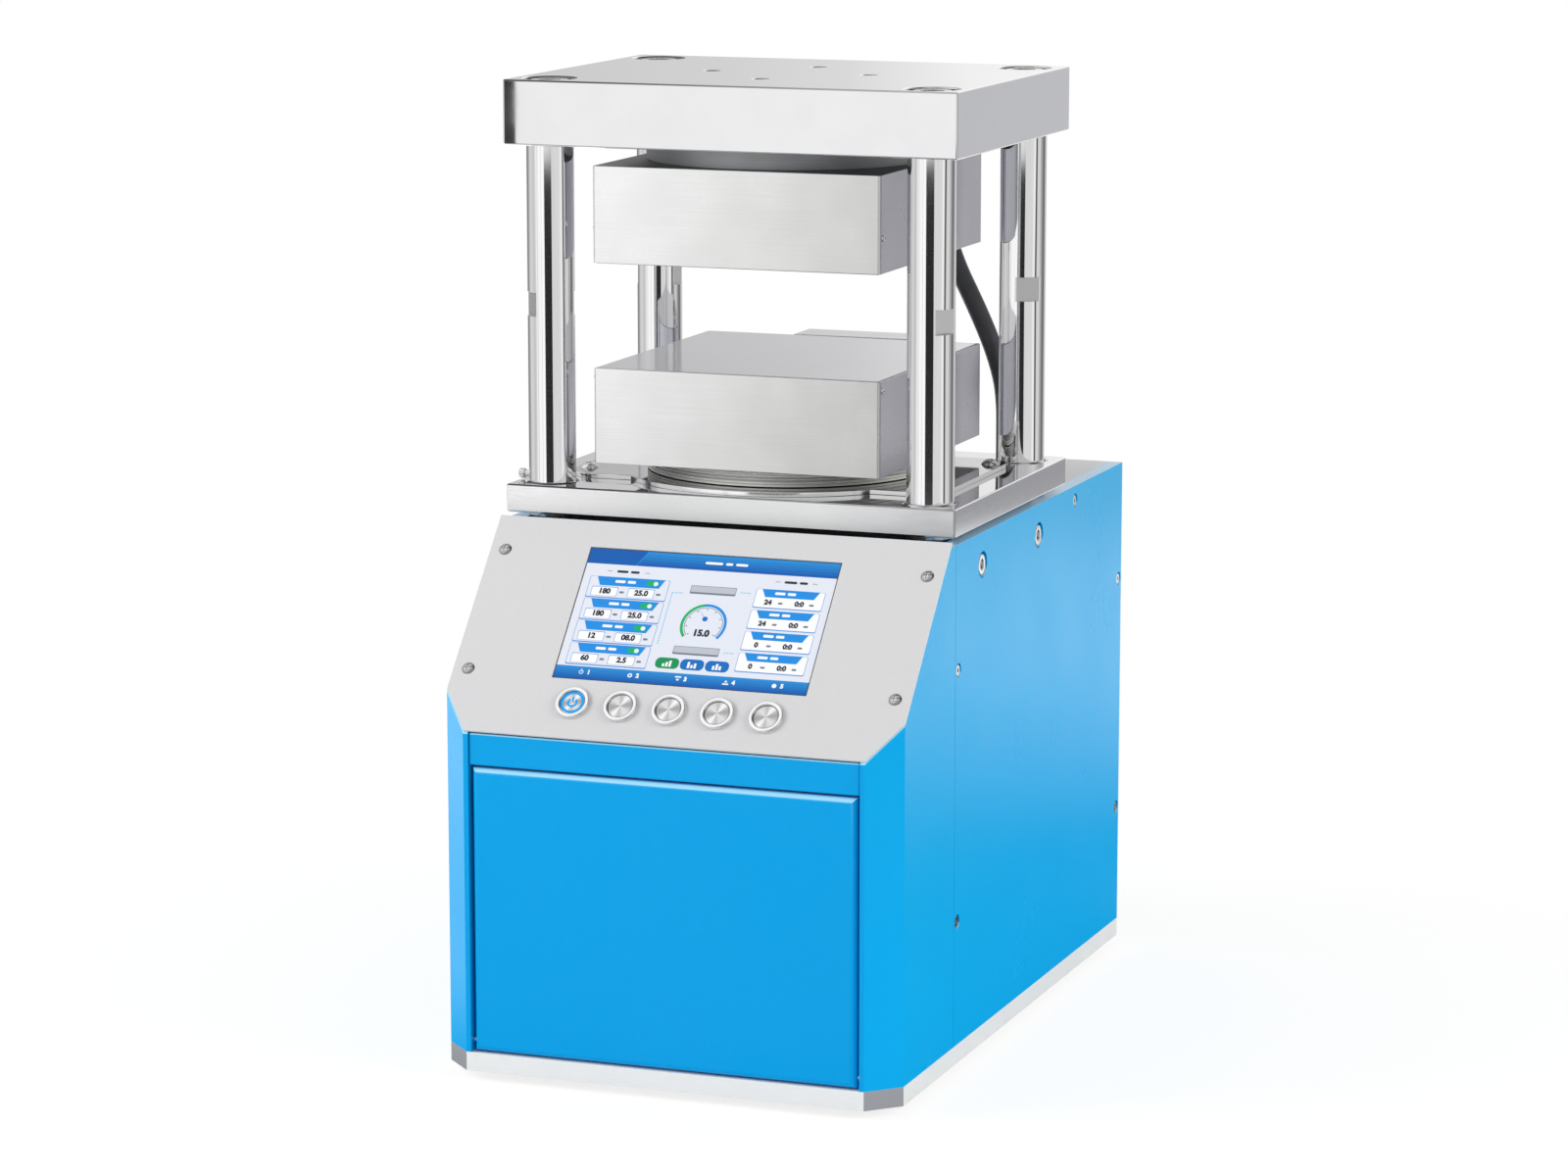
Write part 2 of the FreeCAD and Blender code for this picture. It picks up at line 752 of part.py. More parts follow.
def side_fasteners():
    bolts, screws = [], []
    for side in (1, -1):
        turn = Rotation(Vector(0, 1, 0), 90 * side)
        for y, z in side_large_places():
            name = f"side_bolt_{len(bolts)}"
            bolt = socket_screw(name, *SIDE_BOLT)
            bolts.append(place(bolt, f"{side} * ({SIDE} - side_sunk_m8)", y, z, turn))
        for y, z in side_small_places():
            name = f"side_screw_{len(screws)}"
            screw = socket_screw(name, *SIDE_SCREW)
            screws.append(place(screw, f"{side} * ({SIDE} - side_sunk_m4)", y, z, turn))
    group("side_bolts", bolts)
    group("side_screws", screws)


def rear_panel():
    panel = Solid("rear_panel")
    outline = rectangle(f"-{INSIDE}", INSIDE, FLOOR, "wall_top - lid_thick")
    wide, tall = "(inlet_wide / 2 - inlet_lip)", "(inlet_tall / 2 - inlet_lip)"
    inlet = rectangle(f"inlet_x - {wide}", f"inlet_x + {wide}",
                      f"inlet_z - {tall}", f"inlet_z + {tall}")
    places = [("fan_x", "fan_z")]
    places += ring_places("vent_inner_pcd", 6, 0.0, "fan_x", "fan_z")
    places += ring_places("vent_outer_pcd", 12, 15.0, "fan_x", "fan_z")
    vents = [(x, z, "vent_radius") for x, z in places]
    face = panel.sketch("XZ_Plane", [outline, inlet], vents, f"-{REAR_FACE}")
    panel.pad(face, "wall_thick")
    for side in (1, -1):
        threads = [("side_rear_y", z, "tap_m4") for z in ("side_low_z", "side_high_z")]
        edge = panel.sketch("YZ_Plane", circles=threads, offset=f"{side} * {INSIDE}")
        panel.pocket(edge, "tap_deep", reverse=side < 0)
    panel.done()


def rear_top_cover():
    lid = Solid("rear_top_cover")
    outline = rectangle(f"-{INSIDE}", INSIDE, "lid_front", BACK)
    hole = ("lid_gland_x", "lid_gland_y", "lid_gland_hole")
    lid.pad(lid.sketch("XY_Plane", [outline], [hole], "wall_top - lid_thick"), "lid_thick")
    flanges = []
    for side in (1, -1):
        outer, inner = f"{side} * {INSIDE}", f"{side} * ({INSIDE} - lid_thick)"
        flanges.append(rectangle(inner, outer, "lid_front + 4", f"{REAR_FACE} - wall_thick - 4"))
    lid.pad(lid.sketch("XY_Plane", flanges, offset="wall_top - lid_thick"),
            "lid_flange", reverse=True)
    for side in (1, -1):
        thread = ("side_lid_y", "side_lid_z", "tap_m4")
        wall = lid.sketch("YZ_Plane", circles=[thread], offset=f"{side} * ({INSIDE} + 1)")
        lid.pocket(wall, "lid_thick + 2", reverse=side < 0)
    lid.done()


# ---------------------------------------------------------------- control panel
def button_places():
    """The five buttons' x, from the left."""
    return [f"button_shift + ({i}) * button_pitch" for i in range(-2, 3)]


def panel_screw_places():
    return [(f"{side} * panel_screw_x", along)
            for side in (-1, 1) for along in ("panel_screw_low", "panel_screw_high")]


def control_panel():
    panel = Solid("control_panel")
    cut_along = "corner_cut / cos(panel_slope)"
    outline = [
        (f"-{SIDE} + corner_cut", 0), (f"{SIDE} - corner_cut", 0),
        (SIDE, cut_along), (SIDE, "panel_long"),
        (f"-{SIDE}", "panel_long"), (f"-{SIDE}", cut_along),
    ]
    window = rectangle("-screen_wide / 2", "screen_wide / 2",
                       "screen_mid - screen_tall / 2", "screen_mid + screen_tall / 2")
    holes = [(x, "button_row", "barrel_radius + 0.1") for x in button_places()]
    holes += [(x, along, "hole_m4") for x, along in panel_screw_places()]
    panel.pad(panel.sketch("XY_Plane", [outline, window], holes), "panel_thick", reverse=True)
    on_panel(panel.body, 0, 0, 0)
    panel.done()


def panel_screws():
    screws = []
    for x, along in panel_screw_places():
        name = f"panel_screw_{len(screws)}"
        screws.append(on_panel(dome_screw(name, *PANEL_SCREW), x, along, 0))
    group("panel_screws", screws)


def touch_screen():
    glass = Solid("touch_screen_glass")
    wide, tall = "(screen_wide / 2 - screen_gap)", "(screen_tall / 2 - screen_gap)"
    outline = rectangle(f"-{wide}", wide, f"-{tall}", tall)
    glass.pad(glass.sketch("XY_Plane", [outline]), "glass_thick", reverse=True)
    on_panel(glass.body, 0, "screen_mid", "-glass_sunk")
    glass.done()

    half = "(display_high - display_low) / 2"
    rim = box("display_edge", ("display_wide", f"2 * {half}", "display_rim"),
              ("-display_wide / 2", f"-{half}", "-display_rim"))
    case = box("display_case", ("display_wide - 16", f"2 * {half} - 12", "display_deep"),
               ("-display_wide / 2 + 8", f"-{half} + 6", "-display_deep"))
    plugs = box("display_plugs", ("display_wide / 2", 10.0, "display_rim"),
                ("-display_wide / 4", f"-{half}", "-display_deep"))
    housing = fuse("display_housing", rim, case, plugs)
    on_panel(housing, 0, SCREEN_MIDDLE, "-glass_sunk - glass_thick")
    node(housing, "display_housing")


def button_bodies():
    """Metal push switches: a bezel outside, a threaded barrel and contact block behind."""
    bodies = []
    wall = "cap_radius + 0.1"
    profile = [
        (0, "-barrel_long"), ("barrel_radius", "-barrel_long"), ("barrel_radius", 0),
        ("bezel_radius", 0), ("bezel_radius", "bezel_tall - bezel_round"),
        ("bezel_radius - bezel_round", "bezel_tall"), (f"{wall} + cap_chamfer", "bezel_tall"),
        (wall, "bezel_tall - cap_chamfer"), (wall, "-well_deep"), (0, "-well_deep"),
    ]
    for x in button_places():
        switch = Solid(f"switch_{len(bodies)}")
        switch.revolve(switch.sketch("XZ_Plane", [profile]))
        bodies.append(on_panel(switch.body, x, "button_row", 0))
    group("button_bodies", bodies)


def button_caps():
    names = ("power_button", "setting_button", "upper_button", "lower_button", "press_button")
    profile = [
        (0, "cap_proud - cap_long"), ("cap_radius", "cap_proud - cap_long"),
        ("cap_radius", "cap_proud - cap_chamfer"), ("cap_radius - cap_chamfer", "cap_proud"),
        (0, "cap_proud"),
    ]
    for name, x in zip(names, button_places()):
        cap = Solid(name)
        cap.revolve(cap.sketch("XZ_Plane", [profile]))
        on_panel(cap.body, x, "button_row", 0)
        cap.done()


# ---------------------------------------------------------------- press frame
def deck_plate():
    deck = Solid("deck_plate")
    holes = [(0, "press_y", "ram_radius + 0.3")]
    holes += [(x, y, "screw_radius + 0.5") for x, y in column_places()]
    holes += [(x, y, "hole_m10") for x, y in ring_places("cylinder_pcd", 6)]
    deck.pad(deck.sketch("XY_Plane", [PLATE_OUTLINE], holes, "deck_low"), "deck_thick")
    sockets = [(x, y, "column_radius + 0.05") for x, y in column_places()]
    deck.pocket(deck.sketch("XY_Plane", circles=sockets, offset=DECK_TOP), "column_sunk")
    rims = [(x, y, "column_radius + rim_wide") for x, y in column_places()]
    deck.pocket(deck.sketch("XY_Plane", circles=rims, offset=DECK_TOP), "rim_deep")
    heads = [(x, y, "cylinder_pocket") for x, y in ring_places("cylinder_pcd", 6)]
    deck.pocket(deck.sketch("XY_Plane", circles=heads, offset=DECK_TOP), "cylinder_sunk")
    threads = [(x, y, "tap_m6") for x, y in guide_screw_places()]
    deck.pocket(deck.sketch("XY_Plane", circles=threads, offset=DECK_TOP), "guide_tap_deep")
    deck.done()


def guide_plate():
    plate = Solid("guide_plate")
    half, deep = "guide_wide / 2", "guide_deep / 2"
    outline = rectangle(f"-{half}", half, f"press_y - {deep}", f"press_y + {deep}")
    plate.pad(plate.sketch("XY_Plane", [outline], offset=DECK_TOP), "guide_thick")
    plate.round("guide_corner", is_upright)
    disc = plate.sketch("XY_Plane", circles=[(0, "press_y", "guide_disc")], offset=DECK_TOP)
    plate.pad(disc, "guide_thick")
    holes = [(0, "press_y", "ram_radius + 0.4")]
    holes += [(x, y, "hole_m6") for x, y in guide_screw_places()]
    top = plate.sketch("XY_Plane", circles=holes, offset=f"{DECK_TOP} + guide_thick")
    plate.pocket(top, "guide_thick")
    plate.done()


def guide_plate_screws():
    screws = []
    for x, y in guide_screw_places():
        name = f"guide_screw_{len(screws)}"
        screws.append(place(dome_screw(name, *GUIDE_SCREW), x, y, f"{DECK_TOP} + guide_thick"))
    group("guide_plate_screws", screws)


def cylinder_block():
    """Wide block under the deck, with the blind cylinder bore in a round boss below."""
    block = Solid("cylinder_block")
    outline = rectangle(f"-{INSIDE}", INSIDE, "block_front", "block_front + block_deep")
    block.pad(block.sketch("XY_Plane", [outline], offset="block_low"), "deck_low - block_low")
    boss = block.sketch("XY_Plane", circles=[(0, "press_y", "boss_radius")], offset="barrel_low")
    block.pad(boss, "block_low - barrel_low + 1")
    bore = [(0, "press_y", "ram_radius + 0.05")]
    block.pocket(block.sketch("XY_Plane", circles=bore, offset="deck_low"), "deck_low - bore_low")
    threads = [(x, y, "tap_m10") for x, y in ring_places("cylinder_pcd", 6)]
    face = block.sketch("XY_Plane", circles=threads, offset="deck_low")
    block.pocket(face, "cylinder_tap_deep")
    port = block.sketch("XY_Plane", circles=[(0, "press_y", "port_radius")], offset="bore_low")
    block.pocket(port, "bore_low - barrel_low")
    for side in (1, -1):
        taps = [(y, z, "tap_m8") for y, z in side_large_places()]
        face = block.sketch("YZ_Plane", circles=taps, offset=f"{side} * {INSIDE}")
        block.pocket(face, "cylinder_tap_deep", reverse=side < 0)
    block.done()


def cylinder_bolts():
    bolts = []
    for x, y in ring_places("cylinder_pcd", 6):
        bolt = socket_screw(f"cylinder_bolt_{len(bolts)}", *CYLINDER_BOLT)
        bolts.append(place(bolt, x, y, f"{DECK_TOP} - cylinder_sunk"))
    group("cylinder_bolts", bolts)


def columns():
    """Ground bars with a tapped hole in each end and two wrench flats."""
    low, high = f"{DECK_TOP} - column_sunk", "top_low + column_rise"
    bar = [
        ("screw_radius", low), ("column_radius", low), ("column_radius", high),
        ("screw_radius", high), ("screw_radius", f"{high} - screw_grip"),
        (0, f"{high} - screw_grip"), (0, f"{low} + screw_grip"),
        ("screw_radius", f"{low} + screw_grip"),
    ]
    for name, (side, end, flat_angle) in COLUMNS.items():
        column = Solid("column_" + name)
        column.revolve(column.sketch("XZ_Plane", [bar]))
        reach = "(column_radius + 5)"
        sides = [rectangle(f"-{reach}", reach, f"-{reach}", "-flat_half"),
                 rectangle(f"-{reach}", reach, "flat_half", reach)]
        flats = column.sketch("XY_Plane", sides, offset="flat_low + flat_tall")
        column.pocket(flats, "flat_tall")
        place(column.body, f"{side} * column_x", f"press_y + ({end}) * column_dy", 0,
              Rotation(Vector(0, 0, 1), flat_angle))
        column.done()


def column_fasteners():
    screws, washers = [], []
    seats = [(f"{TOP_TOP} - head_depth", 1), ("deck_low", -1)]
    for x, y in column_places():
        for seat, up in seats:
            turn = Rotation(Vector(1, 0, 0), 0 if up > 0 else 180)
            name = f"column_screw_{len(screws)}"
            screw = socket_screw(name, *COLUMN_SCREW)
            screws.append(place(screw, x, y, f"{seat} + ({up}) * washer_thick", turn))
            low = seat if up > 0 else f"{seat} - washer_thick"
            name = f"washer_{len(washers)}"
            ring = rod(name + "_ring", "washer_radius", "washer_thick", (x, y, low))
            hole = rod(name + "_hole", "screw_radius + 0.5", "washer_thick", (x, y, low))
            washers.append(cut(name, ring, hole))
    group("column_screws", screws)
    group("column_washers", washers)


def top_plate():
    plate = Solid("top_plate")
    holes = [(x, y, "screw_radius + 0.5") for x, y in column_places()]
    holes += [(x, y, "hole_m5") for x, y in ring_places("spacer_pcd", 4)]
    plate.pad(plate.sketch("XY_Plane", [PLATE_OUTLINE], holes, "top_low"), "top_thick")
    heads = [(x, y, "head_pocket") for x, y in column_places()]
    plate.pocket(plate.sketch("XY_Plane", circles=heads, offset=TOP_TOP), "head_depth")
    small = [(x, y, "spacer_pocket") for x, y in ring_places("spacer_pcd", 4)]
    plate.pocket(plate.sketch("XY_Plane", circles=small, offset=TOP_TOP), "spacer_sunk")
    sockets = [(x, y, "column_radius + 0.05") for x, y in column_places()]
    under = plate.sketch("XY_Plane", circles=sockets, offset="top_low")
    plate.pocket(under, "column_rise", reverse=True)
    plate.done()


# ---------------------------------------------------------------- platens
def upper_spacer():
    spacer = Solid("upper_spacer")
    outline = [(0, "press_y", "spacer_radius")]
    holes = [(x, y, "tap_m5") for x, y in ring_places("spacer_pcd", 4)]
    spacer.pad(spacer.sketch("XY_Plane", circles=outline + holes, offset="upper_high"),
               "top_low - upper_high")
    spacer.done()
    screws = []
    for x, y in ring_places("spacer_pcd", 4):
        name = f"spacer_screw_{len(screws)}"
        screw = socket_screw(name, *SPACER_SCREW)
        screws.append(place(screw, x, y, f"{TOP_TOP} - spacer_sunk"))
    group("upper_spacer_screws", screws)


def lower_spacer():
    """Disc between ram and platen, with fine turned rings that shed heat."""
    spacer = Solid("lower_spacer")
    rings, pitch, depth = 6, 1.6, 0.5
    rim = [("spacer_radius", "lower_spacer_low")]
    for i in range(rings):
        start = f"lower_spacer_low + {0.5 + i * pitch}"
        rim += [("spacer_radius", start), (f"spacer_radius - {depth}", f"{start} + 0.3"),
                (f"spacer_radius - {depth}", f"{start} + 0.7"), ("spacer_radius", f"{start} + 1")]
    profile = [(0, "lower_spacer_low"), *rim, ("spacer_radius", "lower_low"), (0, "lower_low")]
    spacer.revolve(spacer.sketch("XZ_Plane", [profile]))
    place(spacer.body, 0, "press_y", 0)
    spacer.done()


def ram():
    piston = Solid("ram")
    groove = 4.0
    low = "ram_low"
    profile = [(0, low), ("ram_radius - 2", low), ("ram_radius", f"{low} + 2")]
    for start in (8, 20):
        profile += [("ram_radius", f"{low} + {start}"), ("ram_radius - 3", f"{low} + {start}"),
                    ("ram_radius - 3", f"{low} + {start + groove}"),
                    ("ram_radius", f"{low} + {start + groove}")]
    profile += [("ram_radius", "lower_spacer_low"), (0, "lower_spacer_low")]
    piston.revolve(piston.sketch("XZ_Plane", [profile]))
    place(piston.body, 0, "press_y", 0)
    piston.done()


def platen_cover(name, low, high, open_low, box_x):
    """Folded sheet round a heating block, open towards the hot face."""
    cover = Solid(name)
    outline = rectangle(f"-{PLATEN_HALF}", PLATEN_HALF, "platen_front", "platen_rear")
    cover.pad(cover.sketch("XY_Plane", [outline], offset=low), f"{high} - ({low})")
    cover.round("platen_round", is_upright)
    half = f"({PLATEN_HALF} - cover_thick)"
    inner = rectangle(f"-{half}", half, "platen_front + cover_thick", "platen_rear - cover_thick")
    depth = f"{high} - ({low}) - cover_thick"
    if open_low:
        cover.pocket(cover.sketch("XY_Plane", [inner], offset=low), depth, reverse=True)
    else:
        cover.pocket(cover.sketch("XY_Plane", [inner], offset=high), depth)
    window = rectangle(f"{box_x} + term_margin", f"{box_x} + term_wide - term_margin",
                       f"({high}) - term_tall + 6", f"({high}) - 8")
    slot = cover.sketch("XZ_Plane", [window], offset="-platen_rear - 1")
    cover.pocket(slot, "cover_thick + 2", reverse=True)
    cover.done()


def heater_places():
    """The heaters' x."""
    return [f"({i}) * heater_pitch" for i in (-1.5, -0.5, 0.5, 1.5)]


def heating_block(name, low):
    """Thick hot plate, bored from the rear for its cartridge heaters."""
    block = Solid(name)
    outline = rectangle(f"-{BLOCK_HALF}", BLOCK_HALF, BLOCK_FRONT, BLOCK_REAR)
    block.pad(block.sketch("XY_Plane", [outline], offset=low), "block_thick")
    bores = [(x, f"{low} + block_thick / 2", "heater_radius + 0.05") for x in heater_places()]
    face = block.sketch("XZ_Plane", circles=bores, offset=f"-{BLOCK_REAR}")
    block.pocket(face, "heater_long + 2", reverse=True)
    block.done()


def heater_rods(name, low):
    rods = []
    for x in heater_places():
        at = (x, f"{BLOCK_REAR} - heater_long", f"{low} + block_thick / 2")
        turn = Rotation(Vector(1, 0, 0), -90)
        rods.append(rod(f"{name}_{len(rods)}", "heater_radius", "heater_long", at, turn))
    group(name, rods)


def insulation(name, low, high):
    size = (f"2 * {BLOCK_HALF}", f"{BLOCK_REAR} - {BLOCK_FRONT}", f"{high} - ({low})")
    node(box(name, size, (f"-{BLOCK_HALF}", BLOCK_FRONT, low)), name)


def terminal_box(name, x, high, gland):
    """Small folded box behind a platen, open towards it."""
    low = f"{high} - term_tall"
    outer = box(name + "_outer", ("term_wide", "term_deep", "term_tall"), (x, "platen_rear", low))
    size = ("term_wide - 2 * cover_thick", "term_deep - cover_thick",
            "term_tall - 2 * cover_thick")
    corner = (f"{x} + cover_thick", "platen_rear", f"{low} + cover_thick")
    tools = [box(name + "_inner", size, corner)]
    if gland:
        at = ("upper_gland_x", "upper_gland_y", f"{low} - 1")
        tools.append(rod(name + "_hole", "cable_radius + 0.3", "cover_thick + 2", at))
    node(cut(name, outer, *tools), name)


def platens():
    heat_top = "(lower_high - block_thick)"
    upper_edge, lower_edge = "upper_low + cover_back", "lower_high - cover_back"
    platen_cover("upper_platen_cover", upper_edge, "upper_high", True, "term_upper_x")
    heating_block("upper_heating_block", "upper_low")
    heater_rods("upper_heater_rods", "upper_low")
    insulation("upper_insulation", "upper_low + block_thick", "upper_high - cover_thick")
    terminal_box("upper_terminal_box", "term_upper_x", "upper_high", True)
    platen_cover("lower_platen_cover", "lower_low", lower_edge, False, "term_lower_x")
    heating_block("lower_heating_block", heat_top)
    heater_rods("lower_heater_rods", heat_top)
    insulation("lower_insulation", "lower_low + cover_thick", heat_top)
    terminal_box("lower_terminal_box", "term_lower_x", "lower_high", False)


def cable_and_glands():
    """The heater cable runs from the upper terminal box down to the cabinet's lid."""
    box_low = "upper_high - term_tall"
    at = ("upper_gland_x", "upper_gland_y", f"{box_low} - upper_gland_tall")
    nut = rod("upper_gland_nut", "gland_radius", "upper_gland_tall", at)
    lid_at = ("lid_gland_x", "lid_gland_y", "wall_top")
    base = hexagon("lid_gland_hex", "2 * gland_radius + 2", "lid_gland_base", lid_at)
    neck_at = ("lid_gland_x", "lid_gland_y", "wall_top + lid_gland_base")
    neck_tall = "lid_gland_tall - lid_gland_base"
    neck = cone("lid_gland_neck", "gland_radius", "gland_radius - 2.2", neck_tall, neck_at)
    group("cable_glands", [nut, fuse("lid_gland", base, neck)])

    size = SIZES
    top = size["upper_high"] - size["term_tall"] - size["upper_gland_tall"]
    end = size["wall_top"] + size["lid_gland_tall"]
    route = [
        (size["upper_gland_x"], size["upper_gland_y"], top),
        (size["upper_gland_x"], size["upper_gland_y"], 501.5),
        (73.0, 108.4, 480.0),
        (84.5, 110.4, 456.5),
        (95.0, 114.0, 431.0),
        (100.8, 120.5, 407.0),
        (101.2, 126.5, 388.0),
        (size["lid_gland_x"], size["lid_gland_y"], 370.0),
        (size["lid_gland_x"], size["lid_gland_y"], end),
    ]
    tube("upper_heater_cable", route, size["cable_radius"])


# ---------------------------------------------------------------- inside the cabinet
def fan():
    """Axial fan behind the rear panel: a frame with four spokes, and a rotor on its axle."""
    y = f"{REAR_FACE} - wall_thick - fan_deep"
    low = "fan_z - fan_wide / 2"
    along_y = Rotation(Vector(1, 0, 0), -90)
    axis = ("fan_x", y, "fan_z")
    frame = box("fan_frame", ("fan_wide", "fan_deep", "fan_wide"), ("fan_x - fan_wide / 2", y, low))
    shroud = cut("fan_shroud", frame, rod("fan_opening", "fan_bore", "fan_deep", axis, along_y))
    spokes = []
    for name, size in (("fan_spoke_x", ("fan_wide - 3", "fan_back", "fan_spoke")),
                       ("fan_spoke_z", ("fan_spoke", "fan_back", "fan_wide - 3"))):
        corner = (f"fan_x - ({size[0]}) / 2", y, f"fan_z - ({size[2]}) / 2")
        spokes.append(box(name, size, corner))
    disc = rod("fan_disc", "fan_hub", "fan_back", axis, along_y)
    axle = rod("fan_shaft", "fan_axle", "rotor_tall - 2", axis, along_y)
    node(fuse("fan_housing", shroud, *spokes, disc, axle), "fan_housing")

    rotor = Solid("fan_rotor")
    hub = rotor.sketch("XY_Plane", circles=[(0, 0, "fan_hub"), (0, 0, "fan_axle + 0.08")])
    rotor.pad(hub, "rotor_tall")
    root, tip = "fan_hub - 2", "fan_bore - 2.5"
    blade = [(root, 1.0), (tip, -3.0), (tip, 4.0), (root, 3.5)]
    first = rotor.pad(rotor.sketch("XY_Plane", [blade], offset=2.0), "rotor_tall - 4")
    doc.recompute()
    pattern = rotor.body.newObject("PartDesign::PolarPattern", "fan_blades")
    pattern.Originals = [first]
    turning = next(f for f in rotor.body.Origin.OriginFeatures if f.Role == "Z_Axis")
    pattern.Axis = (turning, [""])
    pattern.Angle = 360.0
    pattern.Occurrences = 7
    rotor.body.Tip = pattern
    place(rotor.body, "fan_x", f"{y} + fan_back + 1.5", "fan_z", along_y)
    rotor.done()


def mains_inlet():
    """Appliance inlet, flush with the rear edge, with three pins in its socket."""
    x, z = "inlet_x - inlet_wide / 2", "inlet_z - inlet_tall / 2"
    edge = "(inlet_lip + 0.2)"
    flange = box("inlet_flange", ("inlet_wide", "rear_inset", "inlet_tall"), (x, REAR_FACE, z))
    body_size = (f"inlet_wide - 2 * {edge}", "wall_thick + inlet_deep", f"inlet_tall - 2 * {edge}")
    body_y = f"{REAR_FACE} - wall_thick - inlet_deep"
    case = box("inlet_case", body_size, (f"{x} + {edge}", body_y, f"{z} + {edge}"))
    socket_size = ("socket_wide", "socket_deep", "socket_tall")
    bottom = f"{z} + socket_low"
    socket_corner = ("inlet_x - socket_wide / 2", f"{BACK} - socket_deep + 0.1", bottom)
    socket = box("inlet_socket", socket_size, socket_corner)
    hollow = cut("inlet_hollow", fuse("inlet_shell", flange, case), socket)
    pins = []
    for across, up in ((-7, 3), (0, 8), (7, 3)):
        corner = (f"inlet_x + {across - 1}", f"{BACK} - socket_deep - 0.5", f"{bottom} + {up}")
        pins.append(box(f"inlet_pin_{len(pins)}", (2.0, 12.0, 4.0), corner))
    node(fuse("mains_inlet", hollow, *pins), "mains_inlet")


def hydraulics():
    """Oil tank, pump motor and valve block on the floor, and the pipe up to the cylinder."""
    tank = box("tank_shell", ("tank_wide", "tank_deep", "tank_tall"), ("tank_x", "tank_y", FLOOR))
    inner = [f"{size} - 2 * tank_wall" for size in ("tank_wide", "tank_deep", "tank_tall")]
    corner = ("tank_x + tank_wall", "tank_y + tank_wall", f"{FLOOR} + tank_wall")
    walls = cut("tank_walls", tank, box("tank_hollow", inner, corner))
    cap_at = ("tank_x + tank_cap", "tank_y + tank_cap", f"{FLOOR} + tank_tall")
    node(fuse("oil_tank", walls, rod("tank_filler", "tank_cap / 2", 12.0, cap_at)), "oil_tank")

    along_y = Rotation(Vector(1, 0, 0), -90)
    front = ("motor_x", "motor_y", "motor_z")
    rear = ("motor_x", "motor_y + motor_long", "motor_z")
    body = rod("motor_body", "motor_radius", "motor_long", front, along_y)
    cover = rod("motor_cover", "motor_radius - 5", "motor_end", rear, along_y)
    feet_size = ("motor_radius * 1.7", "motor_long - 30", f"motor_z - ({FLOOR})")
    feet_at = ("motor_x - motor_radius * 0.85", "motor_y + 15", FLOOR)
    node(fuse("pump_motor", body, cover, box("motor_feet", feet_size, feet_at)), "pump_motor")

    block = box("valve_body", ("valve_wide", "valve_deep", "valve_tall"),
                ("motor_x - valve_wide / 2", "motor_y - valve_deep", FLOOR))
    coils = []
    for side in (-1, 1):
        at = (f"motor_x + ({side}) * coil_x", "motor_y - valve_deep + 16", f"{FLOOR} + valve_tall")
        coils.append(rod(f"valve_coil_{len(coils)}", "coil_radius", "coil_tall", at))
    node(fuse("valve_block", block, *coils), "valve_block")

    size = SIZES
    outlet = (size["motor_x"], size["motor_y"] - 12.0)
    valve_top = size["foot_tall"] + size["floor_thick"] + size["valve_tall"]
    tube("oil_pipe", [
        (*outlet, valve_top),
        (*outlet, 160.0),
        (40.0, 6.0, 200.0),
        (0.0, size["press_y"], 205.0),
        (0.0, size["press_y"], size["barrel_low"]),
    ], size["pipe_radius"])


def electrics():
    """Controller and power supply behind the door, each with terminal strips."""
    controller = [box("controller_case", ("controller_wide", "controller_deep", "controller_tall"),
                      ("controller_x", "box_y", FLOOR))]
    for name, height in (("low", "6"), ("high", "controller_tall - strip_tall - 6")):
        size = ("controller_wide - 10", "strip_deep - 2", "strip_tall")
        corner = ("controller_x + 5", "box_y - strip_deep + 2", f"{FLOOR} + {height}")
        controller.append(box(f"controller_strip_{name}", size, corner))
    node(fuse("controller", *controller), "controller")
    case = box("supply_case", ("supply_wide", "supply_deep", "supply_tall"),
               ("supply_x", "box_y", FLOOR))
    strip = box("supply_strip", ("supply_wide - 28", "strip_deep", "strip_tall"),
                ("supply_x + 14", "box_y - strip_deep", f"{FLOOR} + 6"))
    node(fuse("power_supply", case, strip), "power_supply")


# ---------------------------------------------------------------- build and export
def build():
    bottom_plate()
    rubber_feet()
    front_cheeks()
    front_header()
    front_door()
    door_hinge_pins()
    side_panels()
    side_fasteners()
    rear_panel()
    rear_top_cover()
    control_panel()
    panel_screws()
    touch_screen()
    button_bodies()
    button_caps()
    deck_plate()
    guide_plate()
    guide_plate_screws()
    cylinder_block()
    cylinder_bolts()
    columns()
    column_fasteners()
    top_plate()
    upper_spacer()
    lower_spacer()
    ram()
    platens()
    cable_and_glands()
    fan()
    mains_inlet()
    hydraulics()
    electrics()
    doc.recompute()


def check():
    """Stops before anything is written if an object or a sub-part failed."""
    for thing in doc.Objects:
        if "Invalid" in thing.State or "Error" in thing.State:
            raise RuntimeError(f"{thing.Name} failed: {thing.State}")
    names = [thing.Label for thing in nodes]
    if len(set(names)) != len(names) or len(names) > 60:
        raise RuntimeError("node names repeat or are too many")
    for thing in nodes:
        if thing.Shape.isNull() or not thing.Shape.isValid() or not thing.Shape.Solids:
            raise RuntimeError(thing.Label + " has no valid shape")


def export():
    os.makedirs("parts", exist_ok=True)
    for thing in nodes:
        thing.Shape.exportStep(f"parts/{thing.Label}.step")
    print(len(nodes), "sub-parts written")


build()
check()
export()
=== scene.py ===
"""Looks of the laboratory hot press, in metres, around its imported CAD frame.

The parts keep their CAD shapes and get their finishes here. This script adds the screen page, the spun
button caps, the heater cable as one smooth cord, a few small screws, the floor, the light and the camera.
"""

import json
import math

import bmesh
import bpy
from mathutils import Matrix, Vector

